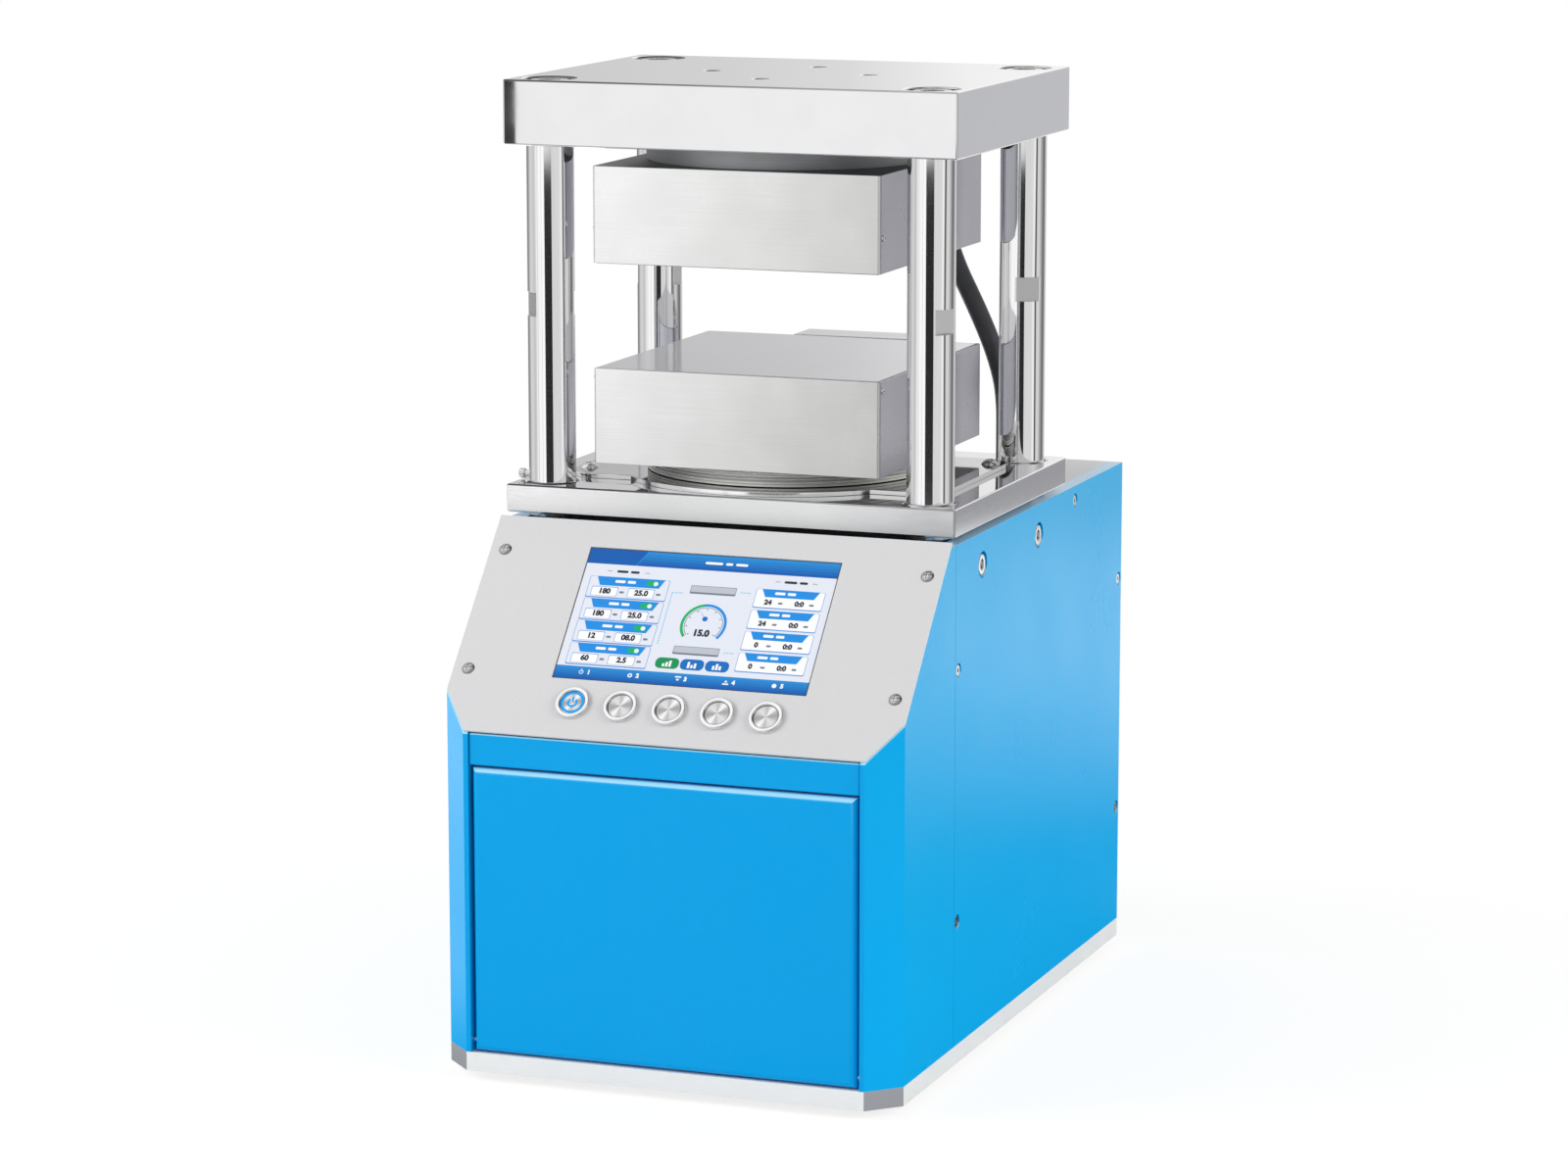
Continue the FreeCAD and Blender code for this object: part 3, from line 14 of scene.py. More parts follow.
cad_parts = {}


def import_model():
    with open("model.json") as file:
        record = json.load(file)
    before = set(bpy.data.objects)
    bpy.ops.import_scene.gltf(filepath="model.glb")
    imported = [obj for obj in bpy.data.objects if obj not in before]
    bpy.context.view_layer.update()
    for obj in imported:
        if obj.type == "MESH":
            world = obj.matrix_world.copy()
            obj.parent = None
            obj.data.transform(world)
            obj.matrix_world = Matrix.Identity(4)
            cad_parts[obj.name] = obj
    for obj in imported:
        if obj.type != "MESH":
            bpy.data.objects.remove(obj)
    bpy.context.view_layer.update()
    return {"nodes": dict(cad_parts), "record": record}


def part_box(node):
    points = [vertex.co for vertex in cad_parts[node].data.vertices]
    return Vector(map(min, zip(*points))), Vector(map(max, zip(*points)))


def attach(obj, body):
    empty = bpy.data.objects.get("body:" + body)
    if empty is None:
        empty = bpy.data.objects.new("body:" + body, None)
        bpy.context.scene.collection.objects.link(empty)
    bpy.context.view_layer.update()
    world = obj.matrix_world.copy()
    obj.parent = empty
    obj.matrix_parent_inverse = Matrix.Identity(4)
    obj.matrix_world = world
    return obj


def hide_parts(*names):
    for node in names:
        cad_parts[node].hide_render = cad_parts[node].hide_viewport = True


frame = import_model()
nodes = frame["nodes"]
scene = bpy.context.scene

MM = 0.001


def rgb(red, green, blue):
    """A linear colour from its 0-255 screen values."""
    levels = [level / 255 for level in (red, green, blue)]
    return tuple(v / 12.92 if v < 0.04 else ((v + 0.055) / 1.055) ** 2.4 for v in levels)


def scaled(colour, share):
    """A darker or paler colour, up to white."""
    return tuple(min(1.0, share * level) for level in colour)


def placed(name, data):
    """A new object in the scene."""
    thing = bpy.data.objects.new(name, data)
    scene.collection.objects.link(thing)
    return thing


def as_mesh(name, form):
    """A mesh from its bmesh, which is then let go."""
    mesh = bpy.data.meshes.new(name)
    form.to_mesh(mesh)
    form.free()
    return mesh


def arc(middle, radius, start, end, steps):
    """Points round a middle, from one angle in degrees to another."""
    turns = [math.radians(start + (end - start) * step / steps) for step in range(steps + 1)]
    return [(middle[0] + radius * math.cos(turn), middle[1] + radius * math.sin(turn)) for turn in turns]


# ---------- places and colours
PANEL_SLOPE = math.radians(47.9)
PANEL_GREY = (0.668, 0.668, 0.695)
# The coat's own blue, then the paler painted highlight on its upper edges.
BLUE, BLUE_EDGE_PAINTED_HIGHLIGHT = (0.0, 0.375, 0.84), (0.36, 0.74, 0.97)
# Painted light: the paler blue of upward faces.
BLUE_TOP_PAINTED_LIGHT = (0.42, 0.64, 0.84)
# Painted light and painted shade on side faces: brighter low down, darker high up.
BLUE_SIDE_LOW_PAINTED_LIGHT, BLUE_SIDE_HIGH_PAINTED_SHADE = (0.0, 0.435, 0.90), (0.0, 0.355, 0.70)
# Where studs are welded behind the panel, in millimetres right of, above and before the glass's middle.
STUD_MARKS = ((-97.0, 47.0, 1.4), (91.5, 46.0, 1.4), (90.6, -43.0, 1.4), (-90.6, -44.0, 1.4))
STUD_RIM = (2.6 * MM, 3.4 * MM)

glass_low, glass_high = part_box("touch_screen_glass")
GLASS_MIDDLE = (Vector(glass_low) + Vector(glass_high)) / 2
SLOPED = Matrix.Translation(GLASS_MIDDLE) @ Matrix.Rotation(PANEL_SLOPE, 4, "X")

press_low, press_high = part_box("lower_spacer")
PRESS_AXIS = ((press_low[0] + press_high[0]) / 2, (press_low[1] + press_high[1]) / 2)
bar_low, bar_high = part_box("column_rear_right")
COLUMN_SPREAD = tuple((bar_low[i] + bar_high[i]) / 2 - PRESS_AXIS[i] for i in (0, 1))
# The columns' wrench flats lie between these heights, and nearer to the bar's axis than this.
FLAT_LOW, FLAT_HIGH, FLAT_REACH = 0.462, 0.481, (14.75 * MM, 14.5 * MM)

# ---------- the heater cable
CABLE_WIDE = 0.0124
CABLE_EXIT = (0.066, 0.107, 0.5235)
CABLE_ROUTE = [
    CABLE_EXIT, (0.066, 0.107, 0.5015), (0.073, 0.1084, 0.480), (0.0845, 0.1104, 0.4565),
    (0.095, 0.114, 0.431), (0.1008, 0.1205, 0.407), (0.1012, 0.1265, 0.388),
    (0.0999, 0.131, 0.370), (0.0999, 0.131, 0.353),
]


def heater_cable(material):
    """The upper platen's cable, taut from its gland down into the cabinet's cover."""
    data = bpy.data.curves.new("heater_cable", "CURVE")
    data.dimensions = "3D"
    line = data.splines.new("NURBS")
    line.points.add(len(CABLE_ROUTE) - 1)
    for point, place in zip(line.points, CABLE_ROUTE):
        point.co = (*place, 1.0)
    line.order_u = 3
    line.use_endpoint_u = True
    line.resolution_u = 12
    data.bevel_depth = CABLE_WIDE / 2
    data.bevel_resolution = 8
    data.use_fill_caps = True
    data.materials.append(material)
    cable = placed("heater_cable", data)
    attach(cable, "root")
    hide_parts("upper_heater_cable")


# ---------- materials
class Nodes:
    """Adds nodes to one tree. Inputs are values or sockets, by name or index."""

    def __init__(self, tree):
        self.tree = tree

    def add(self, kind, inputs=None, **settings):
        node = self.tree.nodes.new(kind)
        for name, value in settings.items():
            setattr(node, name, value)
        for key, value in (inputs or {}).items():
            self.feed(value, node.inputs[key])
        return node

    def feed(self, value, socket):
        if isinstance(value, bpy.types.NodeSocket):
            self.tree.links.new(value, socket)
        else:
            socket.default_value = value

    def span(self, source, low, high, to_low=0.0, to_high=1.0, **settings):
        """Maps a range onto another one, and clamps it."""
        inputs = {0: source, 1: low, 2: high, 3: to_low, 4: to_high}
        return self.add("ShaderNodeMapRange", inputs, **settings).outputs[0]

    def maths(self, operation, *inputs):
        return self.add("ShaderNodeMath", dict(enumerate(inputs)), operation=operation).outputs[0]

    def times(self, a, b):
        return self.maths("MULTIPLY", a, b)

    def vector(self, operation, a, b=(0, 0, 0), result="Vector"):
        return self.add("ShaderNodeVectorMath", {0: a, 1: b}, operation=operation).outputs[result]

    def part(self, vector, axis):
        return self.add("ShaderNodeSeparateXYZ", {0: vector}).outputs[axis]

    def blend(self, factor, a, b):
        """Mixes two colours or levels."""
        a, b = ((*side, 1.0) if isinstance(side, tuple) else side for side in (a, b))
        return self.add("ShaderNodeMix", {0: factor, 6: a, 7: b}, data_type="RGBA").outputs[2]


class Shader(Nodes):
    """A procedural material around one Principled shader, in object space, in metres."""

    def __init__(self, name, colour, roughness, metallic=0.0, **sockets):
        self.material = bpy.data.materials.new(name)
        self.material.use_nodes = True
        super().__init__(self.material.node_tree)
        self.shader = self.tree.nodes["Principled BSDF"]
        sockets.update(Base_Color=(*colour, 1.0), Roughness=roughness, Metallic=metallic)
        for socket, value in sockets.items():
            self.link(value, socket.replace("_", " "))
        coordinates = self.add("ShaderNodeTexCoord")
        self.place, self.normal = coordinates.outputs["Object"], coordinates.outputs["Normal"]

    def link(self, value, socket):
        self.feed(value, self.shader.inputs[socket])

    def noise(self, size, detail=3.0, stretch=(1, 1, 1), place=None):
        """Noise whose blotches are about this many millimetres wide."""
        mapping = self.add("ShaderNodeMapping", {"Vector": place or self.place, "Scale": stretch})
        inputs = {"Vector": mapping.outputs[0], "Scale": 1 / (size * MM), "Detail": detail}
        return self.add("ShaderNodeTexNoise", inputs).outputs["Fac"]

    def soft(self, noise, to_low=0.0, to_high=1.0):
        """Maps noise onto a range, with no line where it reaches the range's ends."""
        return self.span(noise, 0.2, 0.8, to_low, to_high, interpolation_type="SMOOTHERSTEP")

    def tint(self, factor, dark, light):
        """Base colour between two shades."""
        self.link(self.blend(factor, dark, light), "Base Color")

    def gloss(self, factor, smooth, rough):
        """Roughness that a noise moves between two levels."""
        self.link(self.soft(factor, smooth, rough), "Roughness")

    def bump(self, *layers):
        """Bump layers, each as (height source, depth in millimetres)."""
        normal = None
        for height, depth in layers:
            inputs = {"Height": height, "Strength": 1.0, "Distance": depth * MM}
            if normal:
                inputs["Normal"] = normal
            normal = self.add("ShaderNodeBump", inputs).outputs[0]
        self.link(normal, "Normal")

    def facing(self, axis):
        """1 where the surface faces along this axis, either way."""
        return self.span(self.maths("ABSOLUTE", self.part(self.normal, axis)), 0.6, 0.8)

    def edge(self, first, second, low=0.12, high=0.30):
        """1 on the broken edges between faces that look along these two axes."""
        levels = [self.maths("ABSOLUTE", self.part(self.normal, axis)) for axis in (first, second)]
        return self.span(self.maths("MINIMUM", *levels), low, high)

    def along(self, axis, low, high, to_low=0.0, to_high=1.0):
        """A level that runs along one axis, between two places in metres."""
        return self.span(self.part(self.place, axis), low, high, to_low, to_high)

    def grain(self, size, length=40.0):
        """Fine lines along X, or along Y on faces that look sideways."""
        along_x = self.noise(size, 2.0, stretch=(1 / length, 1, 1))
        along_y = self.noise(size, 2.0, stretch=(1, 1 / length, 1))
        return self.blend(self.facing(0), along_x, along_y)

    def reach(self, offset):
        """How far an offset reaches sideways, whatever its height."""
        return self.vector("LENGTH", self.vector("MULTIPLY", offset, (1, 1, 0)), result="Value")

    def round_axis(self, middle):
        """Distance from an upright axis, and height."""
        offset = self.vector("SUBTRACT", self.place, (*middle, 0))
        return self.reach(offset), self.part(self.place, 2)

    def rings(self, size, middle):
        """Turning marks round an upright axis: they vary with radius and height only."""
        radius, height = self.round_axis(middle)
        place = self.add("ShaderNodeCombineXYZ", {0: radius, 2: height}).outputs[0]
        return self.noise(size, 1.0, place=place)

    def spiral(self, middle):
        """A length that grows across a turned face, whether it is flat or round."""
        return self.maths("ADD", *self.round_axis(middle))


def painted_plate_edges(metal, shade):
    """A ground plate's upper front edge is painted dark, more so to the left, as a painted dark reflection.
    Its end edges are painted bright, as a painted highlight.
    """
    # Painted highlight: end edges turn white. Painted dark reflection: the upper front edge turns dark, less
    # so to the right.
    shade = metal.blend(metal.edge(0, 2), shade, (1.0, 1.0, 1.0))
    upper = metal.times(metal.edge(1, 2), metal.span(metal.part(metal.normal, 2), 0.0, 0.1))
    front = metal.times(upper, metal.along(0, -0.10, 0.13, 1.0, 0.35))
    return metal.blend(front, shade, (0.06, 0.06, 0.08))


def powder_coat():
    """Blue powder coat: orange peel, grain and cloudy gloss.

    Its upper edges are paler as a painted highlight, its upward faces are paler as painted light, and its
    sides carry painted light low down and painted shade towards their top.
    """
    paint = Shader("blue_powder_coat", BLUE, 0.24, Specular_IOR_Level=0.15)
    swell, speck = paint.noise(1.5, 2.0), paint.noise(0.45, 2.0)
    paint.bump((swell, 0.06), (speck, 0.012))
    paint.gloss(paint.noise(70.0), 0.21, 0.28)
    rise = paint.part(paint.normal, 2)
    # Painted highlight: edges that tilt upwards, short of facing straight up.
    rim = paint.times(paint.span(rise, 0.15, 0.5), paint.span(rise, 0.99, 0.9))
    # Painted light low on side faces, painted shade towards their top.
    side = paint.blend(paint.along(2, 0.06, 0.32), BLUE_SIDE_LOW_PAINTED_LIGHT, BLUE_SIDE_HIGH_PAINTED_SHADE)
    plain = paint.blend(paint.facing(0), BLUE, side)
    plain = paint.blend(paint.span(speck, 0.35, 0.7, 0.06, 0.0), plain, (0.0, 0.0, 0.0))
    # Painted light: upward faces turn paler.
    plain = paint.blend(paint.span(rise, 0.985, 0.995), plain, BLUE_TOP_PAINTED_LIGHT)
    paint.tint(rim, plain, BLUE_EDGE_PAINTED_HIGHLIGHT)
    return paint.material


def panel_coat():
    """Light grey fine-bead coat. The welded studs behind the screen leave faint round marks."""
    paint = Shader("panel_grey_coat", PANEL_GREY, 0.46, Specular_IOR_Level=0.3)
    bead, swell = paint.noise(0.55, 2.0), paint.noise(2.2, 2.0)
    layers = [(bead, 0.014), (swell, 0.02)]
    for mark in STUD_MARKS:
        offset = paint.vector("DISTANCE", paint.place, SLOPED @ (Vector(mark) * MM), result="Value")
        layers.append((paint.span(offset, *STUD_RIM), 0.05))
    paint.bump(*layers)
    paint.gloss(paint.noise(45.0), 0.42, 0.52)
    paint.tint(paint.span(bead, 0.3, 0.7), scaled(PANEL_GREY, 0.93), PANEL_GREY)
    return paint.material


def hot_plate():
    """Ground heating blocks, with lines that run along each face and soft stains."""
    colour = (0.57, 0.57, 0.60)
    metal = Shader("hot_plate", colour, 0.13, 1.0)
    lines, cloud = metal.grain(0.35), metal.noise(38.0, 4.0, stretch=(0.5, 0.5, 1))
    metal.bump((lines, 0.002))
    metal.gloss(metal.blend(0.5, lines, cloud), 0.0975, 0.169)
    metal.tint(metal.soft(cloud), scaled(colour, 0.96), scaled(colour, 1.04))
    return metal.material


def mirror_plate():
    """Lapped and polished steel, with only a little haze. Its side faces carry a bluish painted reflection.
    """
    metal = Shader("mirror_plate", (0.76, 0.76, 0.765), 0.025, 1.0)
    haze, wipe = metal.noise(26.0, 4.0), metal.noise(1.2, 2.0, stretch=(0.05, 1, 1))
    metal.bump((wipe, 0.00008))
    metal.gloss(haze, 0.008, 0.02)
    # Painted reflection: side faces are tinted bluer.
    side = metal.times(metal.facing(0), 0.5)
    plain = metal.blend(metal.soft(haze), (0.745, 0.745, 0.755), (0.775, 0.775, 0.78))
    metal.link(painted_plate_edges(metal, metal.blend(side, plain, (0.76, 0.77, 0.86))), "Base Color")
    return metal.material


def ground_deck():
    """Steel with a mirror top. Its front face is hand finished, painted bright at its left end as a painted
    reflection, and darker towards its right end. Its side faces are darker as painted shade.
    """
    metal = Shader("ground_deck", (0.72, 0.72, 0.73), 0.15, 1.0)
    lines, cloud = metal.grain(0.3), metal.noise(9.0, 4.0, stretch=(0.3, 1, 1))
    # Painted reflection: the front face is brighter at its left end.
    left_end_painted_reflection = metal.blend(metal.along(0, -0.13, -0.05), (0.99, 0.99, 1.0), (0.77, 0.775, 0.78))
    right_end_blotches = metal.times(metal.along(0, 0.060, 0.135), metal.span(cloud, 0.25, 0.6, 0.6, 1.0))
    front = metal.blend(right_end_blotches, left_end_painted_reflection, (0.56, 0.565, 0.58))
    shade = metal.blend(metal.facing(1), (0.72, 0.72, 0.725), front)
    # Painted shade: side faces are darker.
    shade = metal.blend(metal.facing(0), shade, (0.42, 0.425, 0.46))
    dull = metal.span(metal.facing(2), 0.0, 1.0, 1.0, 0.06)
    metal.bump((metal.times(lines, dull), 0.003))
    metal.link(metal.times(metal.span(lines, 0.3, 0.7, 0.11, 0.20), metal.span(dull, 0, 1, 0.2, 1)),
               "Roughness")
    lined = metal.times(metal.span(lines, 0.3, 0.7, 0.10, 0.0), dull)
    metal.link(painted_plate_edges(metal, metal.blend(lined, shade, (0.2, 0.2, 0.2))), "Base Color")
    return metal.material


def guide_steel():
    """Polished guide plate. Its rim is brushed and paler than its face; the face's darker tone is painted
    shade.
    """
    metal = Shader("guide_plate", (0.8, 0.8, 0.8), 0.13, 1.0)
    lines, cloud = metal.grain(0.3), metal.noise(20.0, 3.0)
    metal.bump((lines, 0.0002))
    rim = metal.span(metal.facing(2), 0.0, 1.0, 0.09, 0.0)
    metal.link(metal.maths("ADD", rim, metal.soft(cloud, 0.03, 0.06)), "Roughness")
    # Painted shade: the flat faces are much darker than the rim.
    face = metal.blend(metal.soft(cloud), (0.42, 0.42, 0.43), (0.46, 0.46, 0.465))
    metal.tint(metal.facing(2), (0.88, 0.88, 0.885), face)
    return metal.material


def anodised_plate():
    """Brushed aluminium whose sawn corner faces are painted darker, as painted shade."""
    metal = Shader("brushed_aluminium", (0.95, 0.955, 0.97), 0.34, 0.1)
    lines, cloud = metal.grain(0.25), metal.noise(30.0)
    metal.bump((lines, 0.006))
    metal.gloss(cloud, 0.30, 0.42)
    plain = metal.blend(metal.span(lines, 0.3, 0.7), (0.92, 0.93, 0.95), (1.0, 1.0, 1.0))
    # Painted shade: faces that look diagonally across X and Y turn dark.
    metal.tint(metal.edge(0, 1, 0.5, 0.6), plain, (0.36, 0.365, 0.40))
    return metal.material


def satin_sheet(name, tone, hidden):
    """Satin stainless sheet with faint brushed lines. Its front is paler to the left as painted light, and
    its side faces and its upper and lower faces carry painted shade.

    Its hidden face, up with 1 or down with -1, is darker still as painted shade, and rougher.
    """
    metal = Shader(name, scaled((0.8, 0.8, 0.785), tone), 0.28, 1.0)
    lines, cloud = metal.grain(1.1, 60.0), metal.noise(34.0, 2.0)
    metal.bump((lines, 0.0003))
    # Painted light: the front grows paler to the left.
    place = metal.maths("ADD", metal.along(0, -0.085, 0.090), metal.soft(cloud, -0.05, 0.05))
    front = metal.blend(place, scaled((0.96, 0.96, 0.95), tone), scaled((0.61, 0.615, 0.60), tone))
    # Painted shade on side faces, then on upper and lower faces.
    shade = metal.blend(metal.facing(0), front, (0.59, 0.59, 0.65))
    shade = metal.blend(metal.facing(2), shade, (0.70, 0.70, 0.715))
    shade = metal.blend(metal.span(lines, 0.3, 0.7, 0.06, 0.0), shade, (0.30, 0.28, 0.24))
    # Painted shade: the hidden face turns dark.
    shaded_hidden_face = metal.span(metal.times(metal.part(metal.normal, 2), float(hidden)), 0.6, 0.8)
    metal.tint(shaded_hidden_face, shade, (0.22, 0.225, 0.23))
    haze = metal.soft(cloud, 0.27, 0.30)
    metal.link(metal.maths("ADD", metal.span(shaded_hidden_face, 0.0, 1.0, 0.0, 0.3), haze), "Roughness")
    return metal.material


def bar_marks(metal, size):
    """The long fine streaks of a ground bar, and a little haze."""
    return metal.noise(size, 2.0, stretch=(1, 1, 0.01)), metal.noise(14.0, 3.0, stretch=(1, 1, 0.3))


def bezel_chrome():
    """Hard chrome on the rings round the buttons."""
    colour = (0.92, 0.92, 0.93)
    metal = Shader("bezel_chrome", colour, 0.045, 1.0)
    streaks, haze = bar_marks(metal, 0.7)
    metal.bump((streaks, 0.0012))
    metal.gloss(haze, 0.027, 0.072)
    metal.tint(metal.span(streaks, 0.3, 0.7), scaled(colour, 0.95), colour)
    return metal.material


def column_chrome():
    """The bars' chrome. Their wrench flats, which lie nearer to the bar's axis, are milled matte."""
    metal = Shader("column_chrome", (0.86, 0.86, 0.87), 0.04, 1.0)
    streaks, haze = bar_marks(metal, 0.8)
    metal.bump((streaks, 0.0012))
    from_press = metal.vector("SUBTRACT", metal.place, (*PRESS_AXIS, 0))
    from_bar = metal.vector("SUBTRACT", metal.vector("ABSOLUTE", from_press), (*COLUMN_SPREAD, 0))
    inside = metal.span(metal.reach(from_bar), *FLAT_REACH)
    over = metal.along(2, FLAT_LOW - MM, FLAT_LOW + MM)
    under = metal.along(2, FLAT_HIGH + MM, FLAT_HIGH - MM)
    flat = metal.times(metal.times(inside, over), under)
    rough = metal.maths("ADD", metal.times(flat, 9.0), haze)
    metal.link(metal.span(rough, 0.3, 9.3, 0.03, 0.36), "Roughness")
    plain = metal.blend(metal.span(streaks, 0.3, 0.7), (0.83, 0.83, 0.845), (0.89, 0.89, 0.895))
    metal.tint(flat, plain, (0.66, 0.66, 0.67))
    return metal.material


def turned(name, colour, roughness, metallic=1.0, pitch=1.5, groove=0.01, line=0.0):
    """Turned steel: fine rings and an even feed mark round the press's axis, as dark as its line says."""
    metal = Shader(name, colour, roughness, metallic)
    marks, cloud = metal.rings(0.55, PRESS_AXIS), metal.noise(25.0)
    feed = metal.maths("SINE", metal.times(metal.spiral(PRESS_AXIS), 2 * math.pi / (pitch * MM)))
    metal.bump((feed, groove), (marks, 0.02))
    metal.gloss(marks, roughness * 0.8, roughness * 1.3)
    shade = metal.blend(0.35, marks, cloud)
    plain = metal.blend(metal.span(shade, 0.38, 0.62), scaled(colour, 0.82), scaled(colour, 1.1))
    metal.link(metal.blend(metal.span(feed, 0.2, 0.9, 0.0, line), plain, (0.0, 0.0, 0.0)), "Base Color")
    return metal.material


def grained(name, colour, roughness, size, depth, metallic=0.0, vary=0.1):
    """Moulded, cast, drawn or rubber surface: one grain and a cloudy tone."""
    thing = Shader(name, colour, roughness, metallic)
    grain, cloud = thing.noise(size, 3.0), thing.noise(size * 25)
    thing.bump((grain, depth))
    thing.gloss(cloud, roughness * 0.9, min(1.0, roughness * 1.12))
    thing.tint(thing.soft(cloud), scaled(colour, 1 - vary), scaled(colour, 1 + vary))
    return thing.material


def screw_steel():
    """Bright zinc on small screws: drive wear and faint handling marks."""
    metal = Shader("screw_steel", (0.64, 0.63, 0.62), 0.2, 1.0)
    scratch = metal.noise(0.25, 2.0, stretch=(1, 0.15, 1))
    cloud = metal.noise(3.0)
    metal.bump((scratch, 0.006))
    metal.gloss(metal.blend(0.5, scratch, cloud), 0.12, 0.32)
    metal.tint(metal.soft(cloud), (0.66, 0.65, 0.64), (0.84, 0.83, 0.82))
    return metal.material


def panel_screw():
    """Bright screw heads on the sloped panel, with painted shade round their rims and in their cross
    recesses.
    """
    metal = Shader("panel_screw", (0.6, 0.6, 0.6), 0.22, 1.0)
    out = (0.0, -math.sin(PANEL_SLOPE), math.cos(PANEL_SLOPE))
    flat = metal.vector("DOT_PRODUCT", metal.normal, out, result="Value")
    metal.gloss(metal.noise(1.5), 0.15, 0.30)
    # Painted shade: faces that turn away from the panel's face go dark.
    metal.tint(metal.span(flat, 0.80, 0.97), (0.07, 0.07, 0.075), (0.66, 0.65, 0.64))
    return metal.material


def lit(name, colour, glow, gloss=0.3):
    """A part of the screen page or of a lit ring, behind smooth glass. The glow takes from its tint."""
    page = Shader(name, colour, 0.3, Coat_Weight=gloss, Coat_Roughness=0.06, Specular_IOR_Level=0.1,
                  Emission_Color=(*colour, 1.0), Emission_Strength=glow)
    dots = page.noise(0.28, 1.0)
    share = max(0.0, 0.97 - glow)
    page.tint(page.span(dots, 0.3, 0.7), scaled(colour, 0.96 * share), scaled(colour, 1.04 * share))
    page.bump((page.noise(4.0), 0.002))
    return page.material


# Painted highlights on a spun cap, as bright wedges: (turn in degrees, sharpness, share of the full
# brightness).
CAP_PAINTED_HIGHLIGHTS = ((62, 12.0, 1.0), (-38, 8.0, 0.55), (112, 24.0, 0.3))


def spun_cap():
    """Circular brushing on a button cap, with bright wedges of painted highlight across its middle."""
    metal = Shader("spun_cap", (0.75, 0.75, 0.75), 0.26, 1.0, Anisotropic=0.8)
    metal.link(metal.add("ShaderNodeTangent", direction_type="RADIAL", axis="Z").outputs[0], "Tangent")
    marks = metal.rings(0.16, (0, 0))
    angle = metal.maths("ARCTAN2", metal.part(metal.place, 1), metal.part(metal.place, 0))
    painted_highlights = 0.0
    for turn, sharpness, share in CAP_PAINTED_HIGHLIGHTS:
        offset = metal.maths("SUBTRACT", angle, math.radians(turn))
        level = metal.maths("ABSOLUTE", metal.maths("COSINE", offset))
        level = metal.times(metal.maths("POWER", level, sharpness), share)
        painted_highlights = metal.maths("ADD", level, painted_highlights)
    metal.bump((marks, 0.003))
    metal.gloss(marks, 0.20, 0.26)
    # Painted highlight: the wedges lighten the base colour, which stays dark between them.
    shade = metal.blend(painted_highlights, (0.40, 0.40, 0.41), (1.0, 1.0, 1.0))
    metal.link(metal.blend(metal.span(marks, 0.35, 0.65, 0.05, 0.0), shade, (0.3, 0.3, 0.3)), "Base Color")
    return metal.material


# ---------- which piece gets which finish
bright_screw = screw_steel()
glossy_black = grained("black_rubber", (0.042, 0.043, 0.052), 0.42, 0.5, 0.01, vary=0.15)

SLOT_FINISH = {
    "blue_paint": powder_coat(),
    "panel_grey": panel_coat(),
    "brushed_aluminium": anodised_plate(),
    "rubber_black": grained("foot_rubber", (0.022, 0.022, 0.024), 0.75, 0.8, 0.05),
    "screw_steel": bright_screw,
    "polished_plate": mirror_plate(),
    "column_chrome": column_chrome(),
    "satin_steel": satin_sheet("satin_cover", 1.12, -1),
    "hot_plate": hot_plate(),
    "machined_steel": turned("turned_steel", (0.86, 0.86, 0.85), 0.36),
    "cast_block": grained("cast_block", (0.16, 0.17, 0.18), 0.55, 1.6, 0.12),
    "insulation_board": grained("insulation_board", (0.78, 0.74, 0.64), 0.85, 0.9, 0.08),
    "screen_glass": grained("screen_glass", (0.010, 0.012, 0.016), 0.08, 6.0, 0.001),
    "black_plastic": grained("black_plastic", (0.025, 0.025, 0.028), 0.5, 0.5, 0.02),
    "cable_black": glossy_black,
    "device_grey": grained("device_grey", (0.33, 0.34, 0.36), 0.5, 0.7, 0.02),
    "tank_blue": grained("tank_enamel", (0.05, 0.12, 0.25), 0.25, 3.0, 0.02),
    "pipe_steel": grained("drawn_pipe", (0.55, 0.55, 0.56), 0.25, 1.2, 0.01, metallic=1.0),
}
NODE_FINISH = {
    "button_bodies": bezel_chrome(),
    "deck_plate": ground_deck(),
    "upper_spacer": turned("dark_turned_steel", (0.42, 0.43, 0.445), 0.5, 0.5),
    "lower_spacer": turned("ringed_steel", (0.90, 0.91, 0.88), 0.40, 0.3, pitch=1.9, groove=0.03, line=0.5),
    "upper_platen_cover": satin_sheet("upper_cover", 1.16, 1),
    "guide_plate": guide_steel(),
    "panel_screws": panel_screw(),
}
# How wide edges are rounded, in millimetres, by node or else by slot.
NODE_EDGE = {
    "front_door": 1.8, "front_header": 1.4, "guide_plate": 1.1, "side_bolts": 0.9, "side_screws": 0.5,
    "top_plate": 1.2, "deck_plate": 1.2,
}
SLOT_EDGE = {
    "blue_paint": 0.6, "panel_grey": 0.35, "brushed_aluminium": 0.5, "polished_plate": 0.5,
    "satin_steel": 0.5, "hot_plate": 0.3, "machined_steel": 0.4, "column_chrome": 0.4,
    "screw_steel": 0.15,
}
# These edges keep their width beside short ones.
WIDE_EDGES = ("top_plate", "deck_plate", "front_header")


def modify(thing, name, kind, **settings):
    modifier = thing.modifiers.new(name, kind)
    for key, value in settings.items():
        setattr(modifier, key, value)


